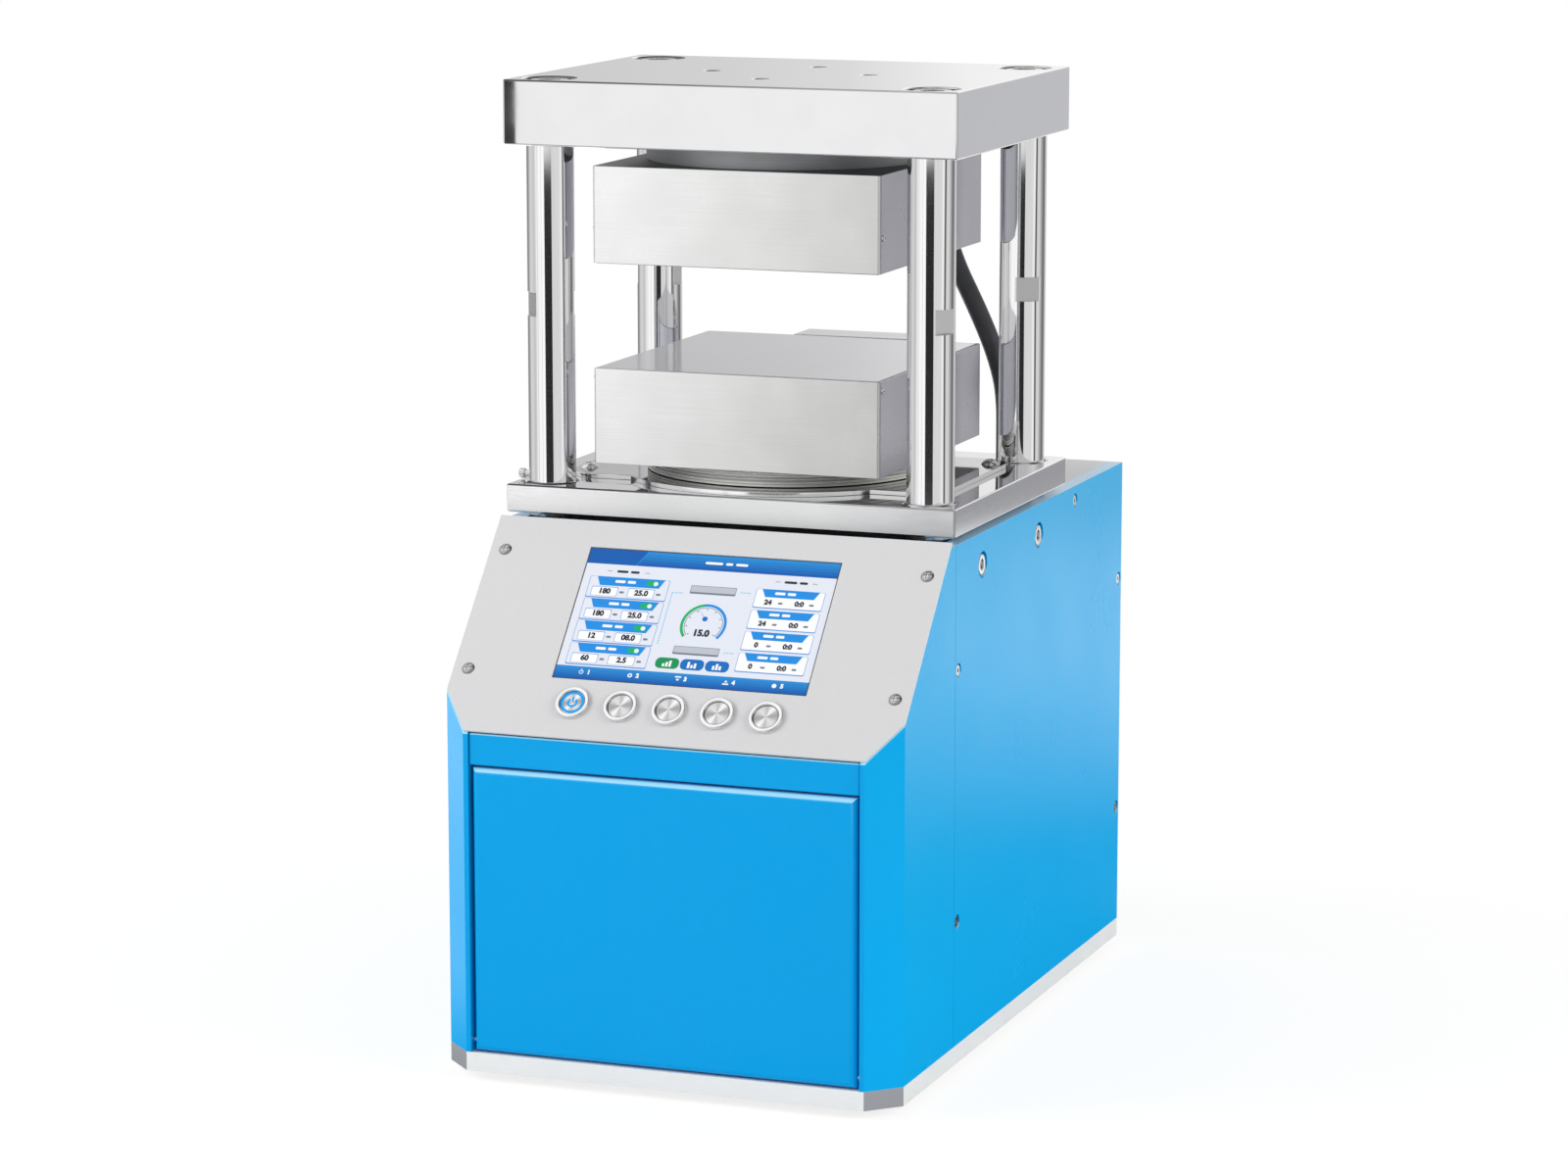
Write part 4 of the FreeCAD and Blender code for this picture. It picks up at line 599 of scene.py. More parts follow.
def soften_edges(thing, width, clamped):
    """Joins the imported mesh's split corners and rounds its sharp edges.

    Where it is clamped, the shortest edge limits the width everywhere.
    """
    modify(thing, "weld", "WELD", merge_threshold=0.01 * MM)
    modify(thing, "merge_flats", "DECIMATE", decimate_type="DISSOLVE", angle_limit=math.radians(0.6))
    modify(thing, "edges", "BEVEL", width=width * MM, segments=2, limit_method="ANGLE",
           angle_limit=math.radians(32), use_clamp_overlap=clamped)
    modify(thing, "flat_faces", "WEIGHTED_NORMAL", mode="FACE_AREA", weight=100)


def finish_frame():
    """Gives every CAD node its finish, and soft edges to those whose slot has an edge width."""
    for part in frame["record"]["subparts"]:
        name, slot = part["node"], part["material_slot"]
        finish = NODE_FINISH.get(name, SLOT_FINISH[slot])
        thing = nodes[name]
        for material_slot in thing.material_slots:
            material_slot.material = finish
        if slot in SLOT_EDGE:
            soften_edges(thing, NODE_EDGE.get(name, SLOT_EDGE[slot]), name not in WIDE_EDGES)


# ---------- meshes
RING_STEPS = 48


def made(name, form, material, body, place):
    """A finished piece from its bmesh, riding on a body."""
    bmesh.ops.recalc_face_normals(form, faces=form.faces)
    mesh = as_mesh(name, form)
    mesh.materials.append(material)
    thing = placed(name, mesh)
    thing.matrix_world = place
    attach(thing, body)
    return thing


def smooth(thing, angle):
    """Smooth shading up to this angle between faces."""
    for face in thing.data.polygons:
        face.use_smooth = True
    thing.data.set_sharp_from_angle(angle=math.radians(angle))


def lathe(profile, steps):
    """Spins (radius, height) points in metres round Z. The first and last radius are 0."""
    form = bmesh.new()
    rows = []
    for radius, height in profile:
        outline = arc((0, 0), radius, 0, 360, steps)[:-1] if radius else [(0, 0)]
        rows.append([form.verts.new((x, y, height)) for x, y in outline])
    for lower, upper in zip(rows, rows[1:]):
        for step in range(steps):
            after = (step + 1) % steps
            corners = [lower[step % len(lower)], lower[after % len(lower)],
                       upper[after % len(upper)], upper[step % len(upper)]]
            form.faces.new(dict.fromkeys(corners))
    return form


def prism(form, outline, low, high):
    """A closed flat prism over an outline of (x, y) points."""
    bottom = [form.verts.new((x, y, low)) for x, y in outline]
    top = [form.verts.new((x, y, high)) for x, y in outline]
    form.faces.new(bottom[::-1])
    form.faces.new(top)
    for step in range(len(outline)):
        after = (step + 1) % len(outline)
        form.faces.new((bottom[step], bottom[after], top[after], top[step]))


def ring(form, middle, inner, outer, low, high, start=0, end=360):
    """A closed ring, or an arc of one, round a middle. Angles are in degrees."""
    full = end - start >= 360
    within, around = (arc(middle, radius, start, end, RING_STEPS) for radius in (inner, outer))
    if full:
        within.pop()
    sides = [[form.verts.new((*point, z)) for point, z in ((a, low), (b, low), (b, high), (a, high))]
             for a, b in zip(within, around)]
    pairs = list(zip(sides, sides[1:]))
    if full:
        pairs.append((sides[-1], sides[0]))
    else:
        form.faces.new(sides[0])
        form.faces.new(sides[-1][::-1])
    for this, after in pairs:
        for corner in range(4):
            beside = (corner + 1) % 4
            form.faces.new((this[corner], after[corner], after[beside], this[beside]))


# ---------- the screen page
PAGE_WIDE, PAGE_TALL = 165.6 * MM, 94.6 * MM
# The glass's face lies this far over its middle, and the page's layers rise from it in these steps.
PAGE_TOP, PAGE_STEP = 0.8 * MM, 0.035 * MM
PAGE_GLOW, DIGIT_WEIGHT, DASH_STEP = 0.35, 0.055, 0.011
WHITE, PAGE_TONE = rgb(250, 251, 253), rgb(229, 233, 246)
PAGE_BLUE, PAGE_DEEP, PAGE_SKY = rgb(16, 110, 194), rgb(6, 92, 178), rgb(28, 142, 228)
BAND_HIGH, BAND_STEPS = rgb(34, 138, 214), 5
PAGE_GREEN, PAGE_KNOB, PAGE_INK = rgb(20, 178, 95), rgb(238, 250, 242), rgb(38, 44, 58)
PAGE_LEAF, PAGE_EDGE, PAGE_DASH = rgb(16, 146, 88), rgb(96, 150, 222), rgb(96, 196, 232)
PAGE_STEEL, PAGE_SHADE, PAGE_GREY = rgb(190, 196, 206), rgb(120, 128, 142), rgb(120, 126, 138)


class Page:
    """Flat shapes on the screen, as thin closed prisms one step above the other.

    Places are (u, v) shares of the page: u from its left edge, v down from its top.
    """

    def __init__(self):
        self.forms = {}

    def place(self, u, v):
        return ((u - 0.5) * PAGE_WIDE, (0.5 - v) * PAGE_TALL)

    def form(self, colour):
        if colour not in self.forms:
            self.forms[colour] = bmesh.new()
        return self.forms[colour]

    def heights(self, level):
        return PAGE_TOP + 0.2 * PAGE_STEP, PAGE_TOP + level * PAGE_STEP

    def slab(self, colour, level, outline):
        prism(self.form(colour), outline, *self.heights(level))

    def shape(self, colour, level, *points):
        self.slab(colour, level, [self.place(u, v) for u, v in points])

    def bar(self, colour, level, u0, v0, u1, v1, corner=0.0):
        """A box, with rounded corners when the corner radius in millimetres isn't 0."""
        (x0, y0), (x1, y1) = self.place(u0, v1), self.place(u1, v0)
        radius = min(corner * MM, (x1 - x0) / 2.001, (y1 - y0) / 2.001)
        if radius <= 0:
            outline = [(x0, y0), (x1, y0), (x1, y1), (x0, y1)]
        else:
            outline = []
            left, right, low, high = x0 + radius, x1 - radius, y0 + radius, y1 - radius
            for turn, x, y in ((180, left, low), (270, right, low), (0, right, high), (90, left, high)):
                outline += arc((x, y), radius, turn, turn + 90, 6)
        self.slab(colour, level, outline)

    def arc(self, colour, level, u, v, inner, outer, start=0, end=360):
        """A ring or an arc. Radii are in millimetres."""
        ring(self.form(colour), self.place(u, v), inner * MM, outer * MM, *self.heights(level),
             start=start, end=end)

    def dot(self, colour, level, u, v, radius):
        self.slab(colour, level, arc(self.place(u, v), radius * MM, 0, 345, 23))

    def digits(self, colour, level, u, v, text, size):
        """Numbers set round a middle. The size is in millimetres."""
        data = bpy.data.curves.new("digits", "FONT")
        data.body = text
        data.size = size * MM
        data.offset = DIGIT_WEIGHT * size * MM
        data.align_x, data.align_y = "CENTER", "CENTER"
        low, high = self.heights(level)
        data.extrude = (high - low) / 2
        data.resolution_u = 4
        thing = bpy.data.objects.new("digits", data)
        mesh = bpy.data.meshes.new_from_object(thing)
        x, y = self.place(u, v)
        mesh.transform(Matrix.Translation((x, y, (low + high) / 2)))
        self.form(colour).from_mesh(mesh)
        bpy.data.objects.remove(thing)
        bpy.data.meshes.remove(mesh)

    def finish(self):
        for number, (colour, form) in enumerate(self.forms.items()):
            bmesh.ops.remove_doubles(form, verts=form.verts, dist=0.001 * MM)
            name = f"page_layer_{number:02d}"
            made(name, form, lit(name, colour, PAGE_GLOW), "root", SLOPED)


def page_label(page, u0, v0, u1, v1):
    """A blue tab that narrows downwards, with two short white bars in the place of words."""
    slant = 0.018
    page.shape(PAGE_SKY, 5, (u0, v0), (u0 + slant, v1), (u1 - slant, v1), (u1, v0))
    u, v = (u0 + u1) / 2, (v0 + v1) / 2
    for start, stop in ((u - 0.06, u - 0.02), (u - 0.01, u + 0.022)):
        page.bar(WHITE, 6, start, v - 0.011, stop, v + 0.009, 0.6)


def page_setting(page, v, values):
    """A box in the left column: a label with a switch, and two value fields."""
    page.bar(PAGE_EDGE, 2, 0.030, v, 0.352, v + 0.166, 1.0)
    page.bar(PAGE_TONE, 3, 0.032, v + 0.002, 0.350, v + 0.157, 1.0)
    page_label(page, 0.058, v, 0.332, v + 0.068)
    page.bar(PAGE_GREEN, 6, 0.261, v + 0.015, 0.309, v + 0.053, 2.0)
    page.dot(PAGE_KNOB, 7, 0.298, v + 0.034, 1.5)
    for number, value in enumerate(values):
        left = 0.050 + 0.148 * number
        page.bar(PAGE_EDGE, 4, left - 0.002, v + 0.077, left + 0.104, v + 0.149, 0.8)
        page.bar(WHITE, 5, left, v + 0.082, left + 0.102, v + 0.147, 0.8)
        page.digits(PAGE_INK, 6, left + 0.052, v + 0.113, value, 5.2)
        page.bar(PAGE_GREY, 4, left + 0.112, v + 0.106, left + 0.130, v + 0.122, 0.5)


def page_reading(page, v, values):
    """A box in the right column: a label and two plain readings."""
    page.bar(PAGE_EDGE, 2, 0.700, v, 0.972, v + 0.146, 1.0)
    page.bar(WHITE, 3, 0.702, v + 0.002, 0.970, v + 0.138, 1.0)
    page_label(page, 0.722, v, 0.950, v + 0.060)
    for u, value in zip((0.757, 0.880), values):
        page.digits(PAGE_INK, 5, u, v + 0.100, value, 4.8)
        page.bar(PAGE_GREY, 4, u + 0.040, v + 0.095, u + 0.058, v + 0.110, 0.5)


def page_tab(page, colour, u, bars):
    """A push field at the bottom, with a small bar chart."""
    page.bar(colour, 4, u - 0.0465, 0.795, u + 0.0465, 0.876, 3.2)
    for number, height in enumerate(bars):
        left = u - 0.018 + 0.013 * number
        page.bar(WHITE, 5, left, 0.862 - height, left + 0.009, 0.862)


def page_dial(page):
    """A plain dial, with a dotted scale and a number, between two plates in place of a picture."""
    u, v, hub = 0.530, 0.530, 0.485
    for plate in (0.235, 0.700):
        page.bar(PAGE_SHADE, 2, 0.440, plate, 0.622, plate + 0.064, 0.8)
        page.bar(PAGE_STEEL, 3, 0.442, plate + 0.004, 0.620, plate + 0.050, 0.8)
    page.arc(PAGE_SKY, 3, u, v, 13.2, 15.0, -40, 220)
    page.arc(PAGE_GREEN, 4, u, v, 13.2, 15.0, 100, 220)
    page.arc(PAGE_SHADE, 3, u, v, 12.1, 12.5, -40, 220)
    for x, y in arc((0, 0), 11.0 * MM, 220, -40, 8):
        page.dot(PAGE_SHADE, 4, u + x / PAGE_WIDE, v - y / PAGE_TALL, 0.45)
    page.digits(PAGE_INK, 4, u, v + 0.065, "15.0", 6.2)
    page.dot(PAGE_BLUE, 4, u, hub, 1.7)
    lean, length = math.radians(128), 9.4 * MM
    tip = (u + length * math.cos(lean) / PAGE_WIDE, hub - length * math.sin(lean) / PAGE_TALL)
    page.shape(PAGE_BLUE, 3, tip, (u - 0.0045, hub - 0.007), (u + 0.0045, hub + 0.008))


def page_dashes(page, u, v, count, down=False):
    """A dashed line to the right or down."""
    step = DASH_STEP * (PAGE_WIDE / PAGE_TALL if down else 1)
    for number in range(count):
        start, stop = step * number, step * (number + 0.6)
        if down:
            page.bar(PAGE_DASH, 2, u - 0.002, v + start, u + 0.002, v + stop)
        else:
            page.bar(PAGE_DASH, 2, u + start, v - 0.0035, u + stop, v + 0.0035)


def page_band(page, v0, v1):
    """A blue band across the page that grows deeper downwards."""
    for step in range(BAND_STEPS):
        share = step / (BAND_STEPS - 1)
        colour = tuple(a + (b - a) * share for a, b in zip(BAND_HIGH, PAGE_DEEP))
        top = v0 + (v1 - v0) * step / BAND_STEPS
        page.bar(colour, 2, 0.0, top, 1.0, v0 + (v1 - v0) * (step + 1) / BAND_STEPS)


def page_footer(page):
    """Five plain icons in a line, each beside its number."""
    v = 0.948
    icons = (0.105, 0.300, 0.490, 0.680, 0.870)
    page.arc(WHITE, 5, icons[0], v, 1.05, 1.45, 120, 420)
    page.bar(WHITE, 5, icons[0] - 0.0015, v - 0.022, icons[0] + 0.0015, v - 0.003)
    page.arc(WHITE, 5, icons[1], v, 0.7, 1.5)
    page.bar(WHITE, 5, icons[2] - 0.012, v - 0.020, icons[2] + 0.012, v - 0.010)
    page.shape(WHITE, 5, (icons[2] - 0.007, v), (icons[2], v + 0.016), (icons[2] + 0.007, v))
    page.bar(WHITE, 5, icons[3] - 0.012, v + 0.008, icons[3] + 0.012, v + 0.018)
    page.shape(WHITE, 5, (icons[3] - 0.007, v), (icons[3] + 0.007, v), (icons[3], v - 0.016))
    page.dot(WHITE, 5, icons[4], v, 1.5)
    for number, u in enumerate(icons):
        page.digits(WHITE, 5, u + 0.030, v, str(number + 1), 4.0)


def screen_page():
    """A generic control page: settings, readings, a dial and a footer."""
    page = Page()
    page.bar(PAGE_TONE, 1, 0.0, 0.0, 1.0, 1.0)
    page_band(page, 0.0, 0.115)
    page.shape(PAGE_DEEP, 3, (0.0, 0.0), (0.0, 0.115), (0.196, 0.115), (0.232, 0.0))
    page.shape(PAGE_SKY, 4, (0.196, 0.115), (0.200, 0.115), (0.236, 0.0), (0.232, 0.0))
    for start, stop in ((0.470, 0.540), (0.552, 0.580), (0.592, 0.640)):
        page.bar(WHITE, 4, start, 0.050, stop, 0.068, 0.8)
    for start, stop in ((0.130, 0.175), (0.185, 0.220), (0.800, 0.850), (0.860, 0.892)):
        page.bar(PAGE_INK, 3, start, 0.158, stop, 0.176, 0.8)
    for start in (0.090, 0.242, 0.765, 0.910):
        page.bar(PAGE_GREY, 3, start, 0.165, start + 0.020, 0.169)
    for number, values in enumerate((("180", "25.0"), ("180", "25.0"), ("12", "08.0"), ("60", "2.5"))):
        page_setting(page, 0.212 + 0.172 * number, values)
    for number, value in enumerate(("24", "24", "0", "0")):
        page_reading(page, 0.228 + 0.163 * number, (value, "0:0"))
    page_dial(page)
    page_dashes(page, 0.372, 0.300, 4)
    page_dashes(page, 0.372, 0.300, 21, down=True)
    page_dashes(page, 0.640, 0.268, 4)
    page_dashes(page, 0.640, 0.730, 4)
    page_tab(page, PAGE_LEAF, 0.4315, (0.022, 0.034, 0.046))
    page_tab(page, PAGE_BLUE, 0.5305, (0.046, 0.024, 0.038))
    page_tab(page, PAGE_BLUE, 0.6295, (0.030, 0.046, 0.030))
    page_band(page, 0.905, 1.0)
    page_footer(page)
    page.finish()


# ---------- button caps
BUTTONS = ("power_button", "setting_button", "upper_button", "lower_button", "press_button")
CAP_RADIUS, CAP_TALL, CAP_RIM, CAP_DISH = 8.0 * MM, 4.0 * MM, 0.6 * MM, 0.16 * MM
# The lit ring and symbol reach this deep into the cap. The ring stands as little over its rim as the
# symbol's top lies under it.
GLOW_BLUE, GLOW_LEVEL = rgb(30, 165, 245), 0.9
GLOW_DEEP, GLOW_PROUD = 0.5 * MM, 0.03 * MM
RING_INNER, RING_OUTER = 6.0 * MM, 7.6 * MM
SYMBOL_INNER, SYMBOL_OUTER, SYMBOL_START, SYMBOL_END = 2.1 * MM, 3.4 * MM, 128, 412
DASH_HALF, DASH_LOW, DASH_HIGH = 0.6 * MM, 0.5 * MM, 3.8 * MM


def cap_place(node):
    """Where a cap's outer face lies, with Z along its travel outwards."""
    low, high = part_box(node)
    turn = Matrix.Rotation(PANEL_SLOPE, 4, "X")
    rim = turn.to_3x3() @ Vector((0, CAP_RADIUS, 0))
    # The box's front face is set by the cap's front rim, and its top by the cap's upper rim.
    return Matrix.Translation(((low[0] + high[0]) / 2, low[1] + rim.y, high[2] - rim.z)) @ turn


def button_cap(node, metal):
    """A slightly dished cap with a rounded rim."""
    profile = [(0, -CAP_TALL), (CAP_RADIUS, -CAP_TALL), (CAP_RADIUS, -CAP_RIM)]
    profile += arc((CAP_RADIUS - CAP_RIM, -CAP_RIM), CAP_RIM, 22.5, 90, 3)
    profile += [(CAP_RADIUS * share, -CAP_DISH * (1 - share) ** 0.5) for share in (0.88, 0.7, 0.5, 0.3, 0.1)]
    profile += [(0, -CAP_DISH)]
    cap = made(node + "_cap", lathe(profile, 64), metal, node, cap_place(node))
    smooth(cap, 30)
    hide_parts(node)


def power_symbol(node):
    """The lit ring and the generic power symbol on a cap."""
    ring_form, symbol_form = bmesh.new(), bmesh.new()
    ring(ring_form, (0, 0), RING_INNER, RING_OUTER, -GLOW_DEEP, GLOW_PROUD)
    ring(symbol_form, (0, 0), SYMBOL_INNER, SYMBOL_OUTER, -GLOW_DEEP, -GLOW_PROUD, SYMBOL_START, SYMBOL_END)
    dash = [(-DASH_HALF, DASH_LOW), (DASH_HALF, DASH_LOW), (DASH_HALF, DASH_HIGH), (-DASH_HALF, DASH_HIGH)]
    prism(symbol_form, dash, -GLOW_DEEP, -GLOW_PROUD)
    for name, form in (("power_ring", ring_form), ("power_symbol", symbol_form)):
        made(name, form, lit(name, GLOW_BLUE, GLOW_LEVEL, 0.0), node, cap_place(node))


# ---------- small screws
# A cover screw's head, with its socket as a share of the radius.
HEAD_RADIUS, HEAD_TALL, HEAD_SHANK, HEAD_SOCKET = 2.2 * MM, 1.3 * MM, 0.5 * MM, 0.42
COVER_SCREW_INSET = 5 * MM
# The locking screw: its height over the deck, depth in the column, radii, and the head's thickness.
LOCK_LIFT, LOCK_DEEP, LOCK_HEAD, LOCK_STEM, LOCK_TALL = 3.9 * MM, 1.5 * MM, 3.1 * MM, 2.1 * MM, 3.9 * MM


def button_head(name, body, place):
    """A domed screw head with a round socket, over a short shank."""
    socket = HEAD_RADIUS * HEAD_SOCKET
    profile = [(0, -HEAD_SHANK), (HEAD_RADIUS * 0.9, -HEAD_SHANK)]
    profile += [(HEAD_RADIUS * x, HEAD_TALL * y) for x, y in arc((0, 0), 1.0, 0, 75, 5)]
    profile += [(socket, HEAD_TALL), (socket, HEAD_TALL * 0.35), (0, HEAD_TALL * 0.3)]
    smooth(made(name, lathe(profile, 36), bright_screw, body, place), 35)


def cover_screws():
    """Two screws near the front edge of each platen cover, left and right, at a share of its height."""
    for which, body, share in (("lower", "lower_platen", 0.90), ("upper", "root", 0.36)):
        low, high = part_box(which + "_platen_cover")
        height = low[2] + share * (high[2] - low[2])
        for side, x, angle in (("left", low[0], -90), ("right", high[0], 90)):
            turn = Matrix.Rotation(math.radians(angle), 4, "Y")
            place = Matrix.Translation((x, low[1] + COVER_SCREW_INSET, height)) @ turn
            button_head(f"{which}_cover_screw_{side}", body, place)


def column_lock():
    """A small locking screw in the foot of the front left column, just inside the deck's edge."""
    low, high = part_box("column_front_left")
    deck_low, deck_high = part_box("deck_plate")
    tip = low[0] - deck_low[0] - 0.5 * MM
    seat = tip - LOCK_TALL
    profile = [(0, -LOCK_DEEP), (LOCK_STEM, -LOCK_DEEP), (LOCK_STEM, seat), (LOCK_HEAD * 0.9, seat),
               (LOCK_HEAD, seat + 0.4 * MM), (LOCK_HEAD, tip - 0.4 * MM), (LOCK_HEAD * 0.85, tip),
               (LOCK_HEAD * 0.45, tip), (LOCK_HEAD * 0.4, tip - 1.1 * MM), (0, tip - 1.1 * MM)]
    place = Matrix.Translation((low[0], (low[1] + high[1]) / 2, deck_high[2] + LOCK_LIFT))
    place @= Matrix.Rotation(math.radians(-90), 4, "Y")
    smooth(made("column_locking_screw", lathe(profile, 40), bright_screw, "root", place), 35)


# ---------- stage
CAMERA_PLACE = (1.0922, -2.9569, 0.8491)
CAMERA_TURN = 20.404
CAMERA_PITCH = -10.243
CAMERA_LENS = 113.58

# Matt surfaces see a pale floor. The camera sees a shadow catcher, which fades to white over FLOOR_FADE.
FLOOR_RADIUS, FLOOR_MATTE = 1.9, (0.86, 0.86, 0.865)
FLOOR_CATCHER, FLOOR_GLOW, FLOOR_FADE = (0.24, 0.24, 0.235), 0.80, (0.45, 0.95)
# Polished metal sees the floor as a glow with painted shade round the press: it brightens with distance,
# more so behind the press and on its left, and is never black right before and behind it. Spans are in
# metres, some with the levels at both ends.
FLOOR_LEVELS = ((0.0, 0.0), (0.6, 0.05), (0.9, 0.40), (1.3, 0.85), (FLOOR_RADIUS, 1.0))
FLOOR_BEHIND = (-0.45, 0.0, 0.2, 1.5)
FLOOR_LEFT, FLOOR_BESIDE = (-0.18, -0.36), (-0.7, -0.3)
FLOOR_CLEAR, FLOOR_CENTRE = (0.26, 0.40, 0.0, 0.45), (0.22, 0.12)

# What polished metal sees below, just above and well above the horizon:
# (degrees from straight ahead of the press towards its right, brightness).
# The dark stretches are black flags beside the light panels.
HORIZON = (
    (-180, 0.80), (-168, 1.05), (-162, 0.98), (-160, 0.71), (-154, 0.60), (-140, 0.40), (-122, 0.22),
    (-108, 0.45), (-96, 0.74), (-76, 0.72), (-66, 0.60), (-56, 0.75), (-50, 1.02), (-45, 0.80),
    (-41, 1.05), (-14, 1.12), (-7, 0.95), (26, 0.80), (30, 0.76), (66, 0.78), (74, 1.0), (80, 0.86),
    (83, 0.10), (89, 0.10), (93, 0.72), (108, 0.74), (122, 0.40), (138, 0.14), (150, 0.30), (156, 0.61),
    (160, 0.61), (180, 0.72),
)
ABOVE = (
    (-180, 0.80), (-168, 1.05), (-162, 0.98), (-160, 0.71), (-154, 0.60), (-140, 0.48), (-122, 0.50),
    (-100, 0.75), (-20, 0.85), (10, 0.62), (40, 0.62), (80, 0.80), (110, 0.60), (138, 0.45), (156, 0.61),
    (160, 0.61), (180, 0.72),
)
OVERHEAD = (
    (-180, 1.10), (-160, 0.90), (-140, 0.60), (-122, 0.50), (-104, 1.05), (-30, 1.05), (-18, 0.60),
    (60, 0.60), (78, 0.08), (106, 0.06), (118, 0.40), (130, 0.40), (156, 0.90), (180, 1.10),
)
# Over these climbs, in degrees, one of the three gives way to the next.
ABOVE_CLIMB, OVERHEAD_CLIMB = (-1.0, 2.0), (13.0, 19.0)
# Two black flags: a narrow upright one, and a wide low one that the columns reflect.
# Turns and climbs are (middle, half width) in degrees.
FLAG_TURN, FLAG_SHADE = (-23.91, 0.40), 0.95
LOW_FLAG_TURN, LOW_FLAG_CLIMB, LOW_FLAG_SHADE = (9.5, 17.6), (-7.42, 2.12), 0.97
# Even light on matt surfaces: (climb in degrees, brightness).
SOFT_LIGHT = ((-90, 0.80), (0, 0.95), (30, 0.78), (60, 0.42), (90, 0.30))
LIGHT_TARGET = Vector((0, 0, 0.3))


def camera():
    data = bpy.data.cameras.new("camera")
    data.sensor_width = 36.0
    data.lens = CAMERA_LENS
    scene.camera = placed("camera", data)
    scene.camera.location = CAMERA_PLACE
    scene.camera.rotation_euler = (math.radians(90 + CAMERA_PITCH), 0, math.radians(CAMERA_TURN))


class Stage(Nodes):
    """Nodes of the floor's or the world's shader, in place of the default ones."""

    def __init__(self, tree):
        super().__init__(tree)
        tree.nodes.clear()

    def ramp(self, source, stops, low, high):
        """A level read from (place, level) stops between two ends."""
        node = self.add("ShaderNodeValToRGB", {"Fac": self.span(source, low, high)})
        elements = node.color_ramp.elements
        while len(elements) < len(stops):
            elements.new(0.5)
        for element, (place, level) in zip(elements, stops):
            element.position = (place - low) / (high - low)
            element.color = (level, level, level, 1.0)
        return node.outputs["Color"]

    def matte(self, colour):
        return self.add("ShaderNodeBsdfDiffuse", {"Color": (*colour, 1.0)}).outputs[0]

    def glow(self, level):
        return self.add("ShaderNodeEmission", {"Strength": level}).outputs[0]

    def sky(self, colour, level=1.0):
        return self.add("ShaderNodeBackground", {"Color": colour, "Strength": level}).outputs[0]

    def choose(self, switch, plain, other):
        """One shader, or another where the switch is 1."""
        return self.add("ShaderNodeMixShader", {0: switch, 1: plain, 2: other}).outputs[0]


def floor():
    """A pale disc. It fades to the white background, and in reflections stays darker round the press, as
    painted shade.
    """
    form = bmesh.new()
    bmesh.ops.create_circle(form, cap_ends=True, segments=128, radius=FLOOR_RADIUS)
    mesh = as_mesh("floor", form)
    placed("floor", mesh)
    material = bpy.data.materials.new("floor")
    material.use_nodes = True
    mesh.materials.append(material)
    tree = Stage(material.node_tree)
    place = tree.add("ShaderNodeTexCoord").outputs["Object"]
    distance = tree.vector("LENGTH", place, result="Value")
    glow, catcher = tree.glow(FLOOR_GLOW), tree.matte(FLOOR_CATCHER)
    near = tree.add("ShaderNodeAddShader", {0: glow, 1: catcher}).outputs[0]
    seen = tree.choose(tree.span(distance, *FLOOR_FADE), near, tree.glow(1.0))
    across, deep = tree.part(place, 0), tree.part(place, 1)
    behind = tree.times(tree.ramp(distance, FLOOR_LEVELS, 0.0, FLOOR_RADIUS), tree.span(deep, *FLOOR_BEHIND))
    beside = tree.times(tree.span(across, *FLOOR_LEFT), tree.span(deep, *FLOOR_BESIDE))
    clear = tree.span(tree.maths("ABSOLUTE", deep), *FLOOR_CLEAR)
    clear = tree.times(clear, tree.span(across, *FLOOR_CENTRE))
    # Painted shade: reflections see the floor's glow dark round the press.
    mirrored = tree.glow(tree.maths("MAXIMUM", tree.maths("ADD", behind, beside), clear))
    light = tree.add("ShaderNodeLightPath").outputs
    surface = tree.choose(light["Is Camera Ray"], tree.matte(FLOOR_MATTE), seen)
    surface = tree.choose(light["Is Glossy Ray"], surface, mirrored)
    tree.add("ShaderNodeOutputMaterial", {"Surface": surface})


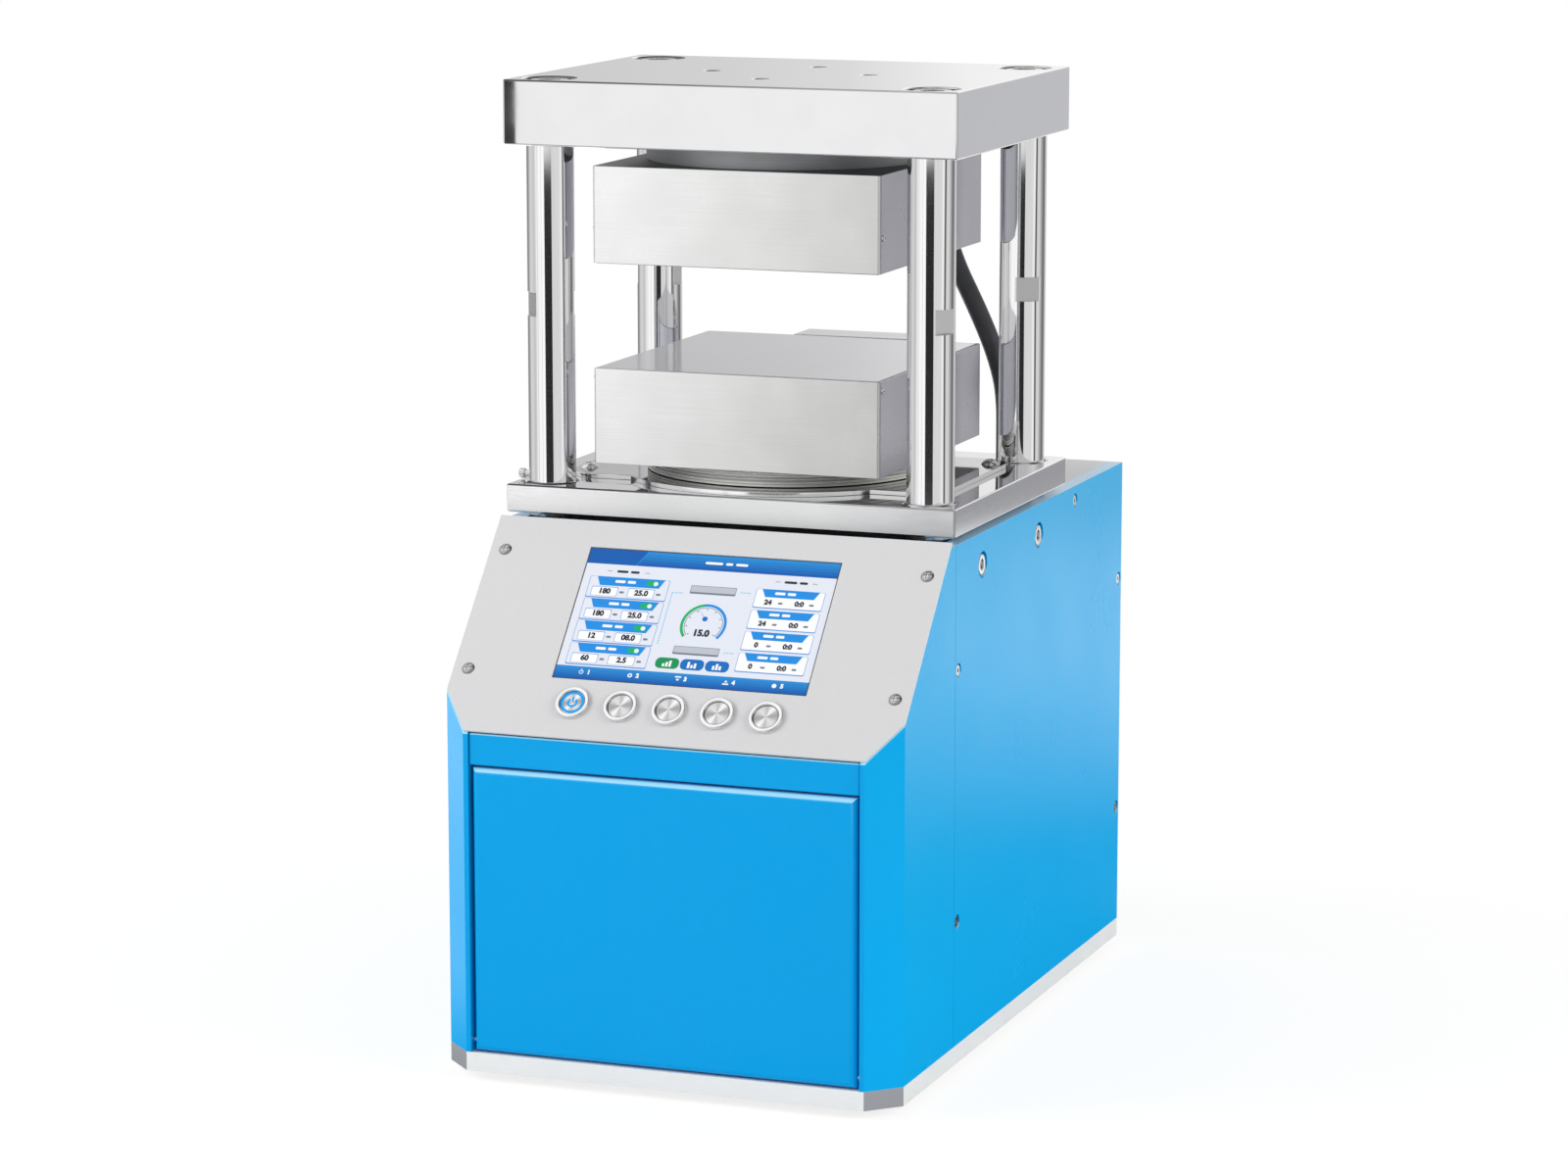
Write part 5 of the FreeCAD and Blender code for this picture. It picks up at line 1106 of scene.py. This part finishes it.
def world():
    """White behind the press, soft even light, and for reflections a studio of panels and flags."""
    studio = bpy.data.worlds.new("studio")
    studio.use_nodes = True
    scene.world = studio
    tree = Stage(studio.node_tree)
    direction = tree.add("ShaderNodeTexCoord").outputs["Generated"]
    right, back, up = (tree.part(direction, axis) for axis in range(3))
    turn = tree.maths("DEGREES", tree.maths("ARCTAN2", right, tree.times(back, -1.0)))
    climb = tree.maths("DEGREES", tree.maths("ARCSINE", up))
    around, above, overhead = (tree.ramp(turn, stops, -180.0, 180.0) for stops in (HORIZON, ABOVE, OVERHEAD))
    panels = tree.blend(tree.span(climb, *ABOVE_CLIMB), around, above)
    panels = tree.blend(tree.span(climb, *OVERHEAD_CLIMB), panels, overhead)
    flag = tree.maths("COMPARE", turn, *FLAG_TURN)
    low = tree.times(tree.maths("COMPARE", turn, *LOW_FLAG_TURN),
                     tree.maths("COMPARE", climb, *LOW_FLAG_CLIMB))
    flags = tree.maths("MAXIMUM", tree.times(flag, FLAG_SHADE), tree.times(low, LOW_FLAG_SHADE))
    mirrored = tree.sky(panels, tree.maths("SUBTRACT", 1.0, flags))
    even = tree.sky(tree.ramp(climb, SOFT_LIGHT, -90.0, 90.0))
    light = tree.add("ShaderNodeLightPath").outputs
    surface = tree.choose(light["Is Glossy Ray"], even, mirrored)
    surface = tree.choose(light["Is Camera Ray"], surface, tree.sky((1.0, 1.0, 1.0, 1.0)))
    tree.add("ShaderNodeOutputWorld", {"Surface": surface})


def area_light(name, place, size, power, colour):
    """A square light that matt surfaces see and polished ones don't."""
    data = bpy.data.lights.new(name, "AREA")
    data.shape = "SQUARE"
    data.size = size
    data.energy = power
    data.color = colour
    thing = placed(name, data)
    thing.location = place
    thing.rotation_euler = (LIGHT_TARGET - Vector(place)).to_track_quat("-Z", "Y").to_euler()
    thing.visible_glossy = False
    thing.visible_camera = False


heater_cable(glossy_black)
camera()
floor()
world()
area_light("key_light", (-2.4, -1.3, 1.7), size=1.6, power=44, colour=(1.0, 1.0, 0.94))
area_light("side_light", (2.6, -0.4, 1.5), size=1.4, power=34, colour=(1.0, 1.0, 0.92))

finish_frame()
screen_page()
cap_metal = spun_cap()
for button in BUTTONS:
    button_cap(button, cap_metal)
power_symbol("power_button")
cover_screws()
column_lock()
scene.view_settings.view_transform = "Standard"
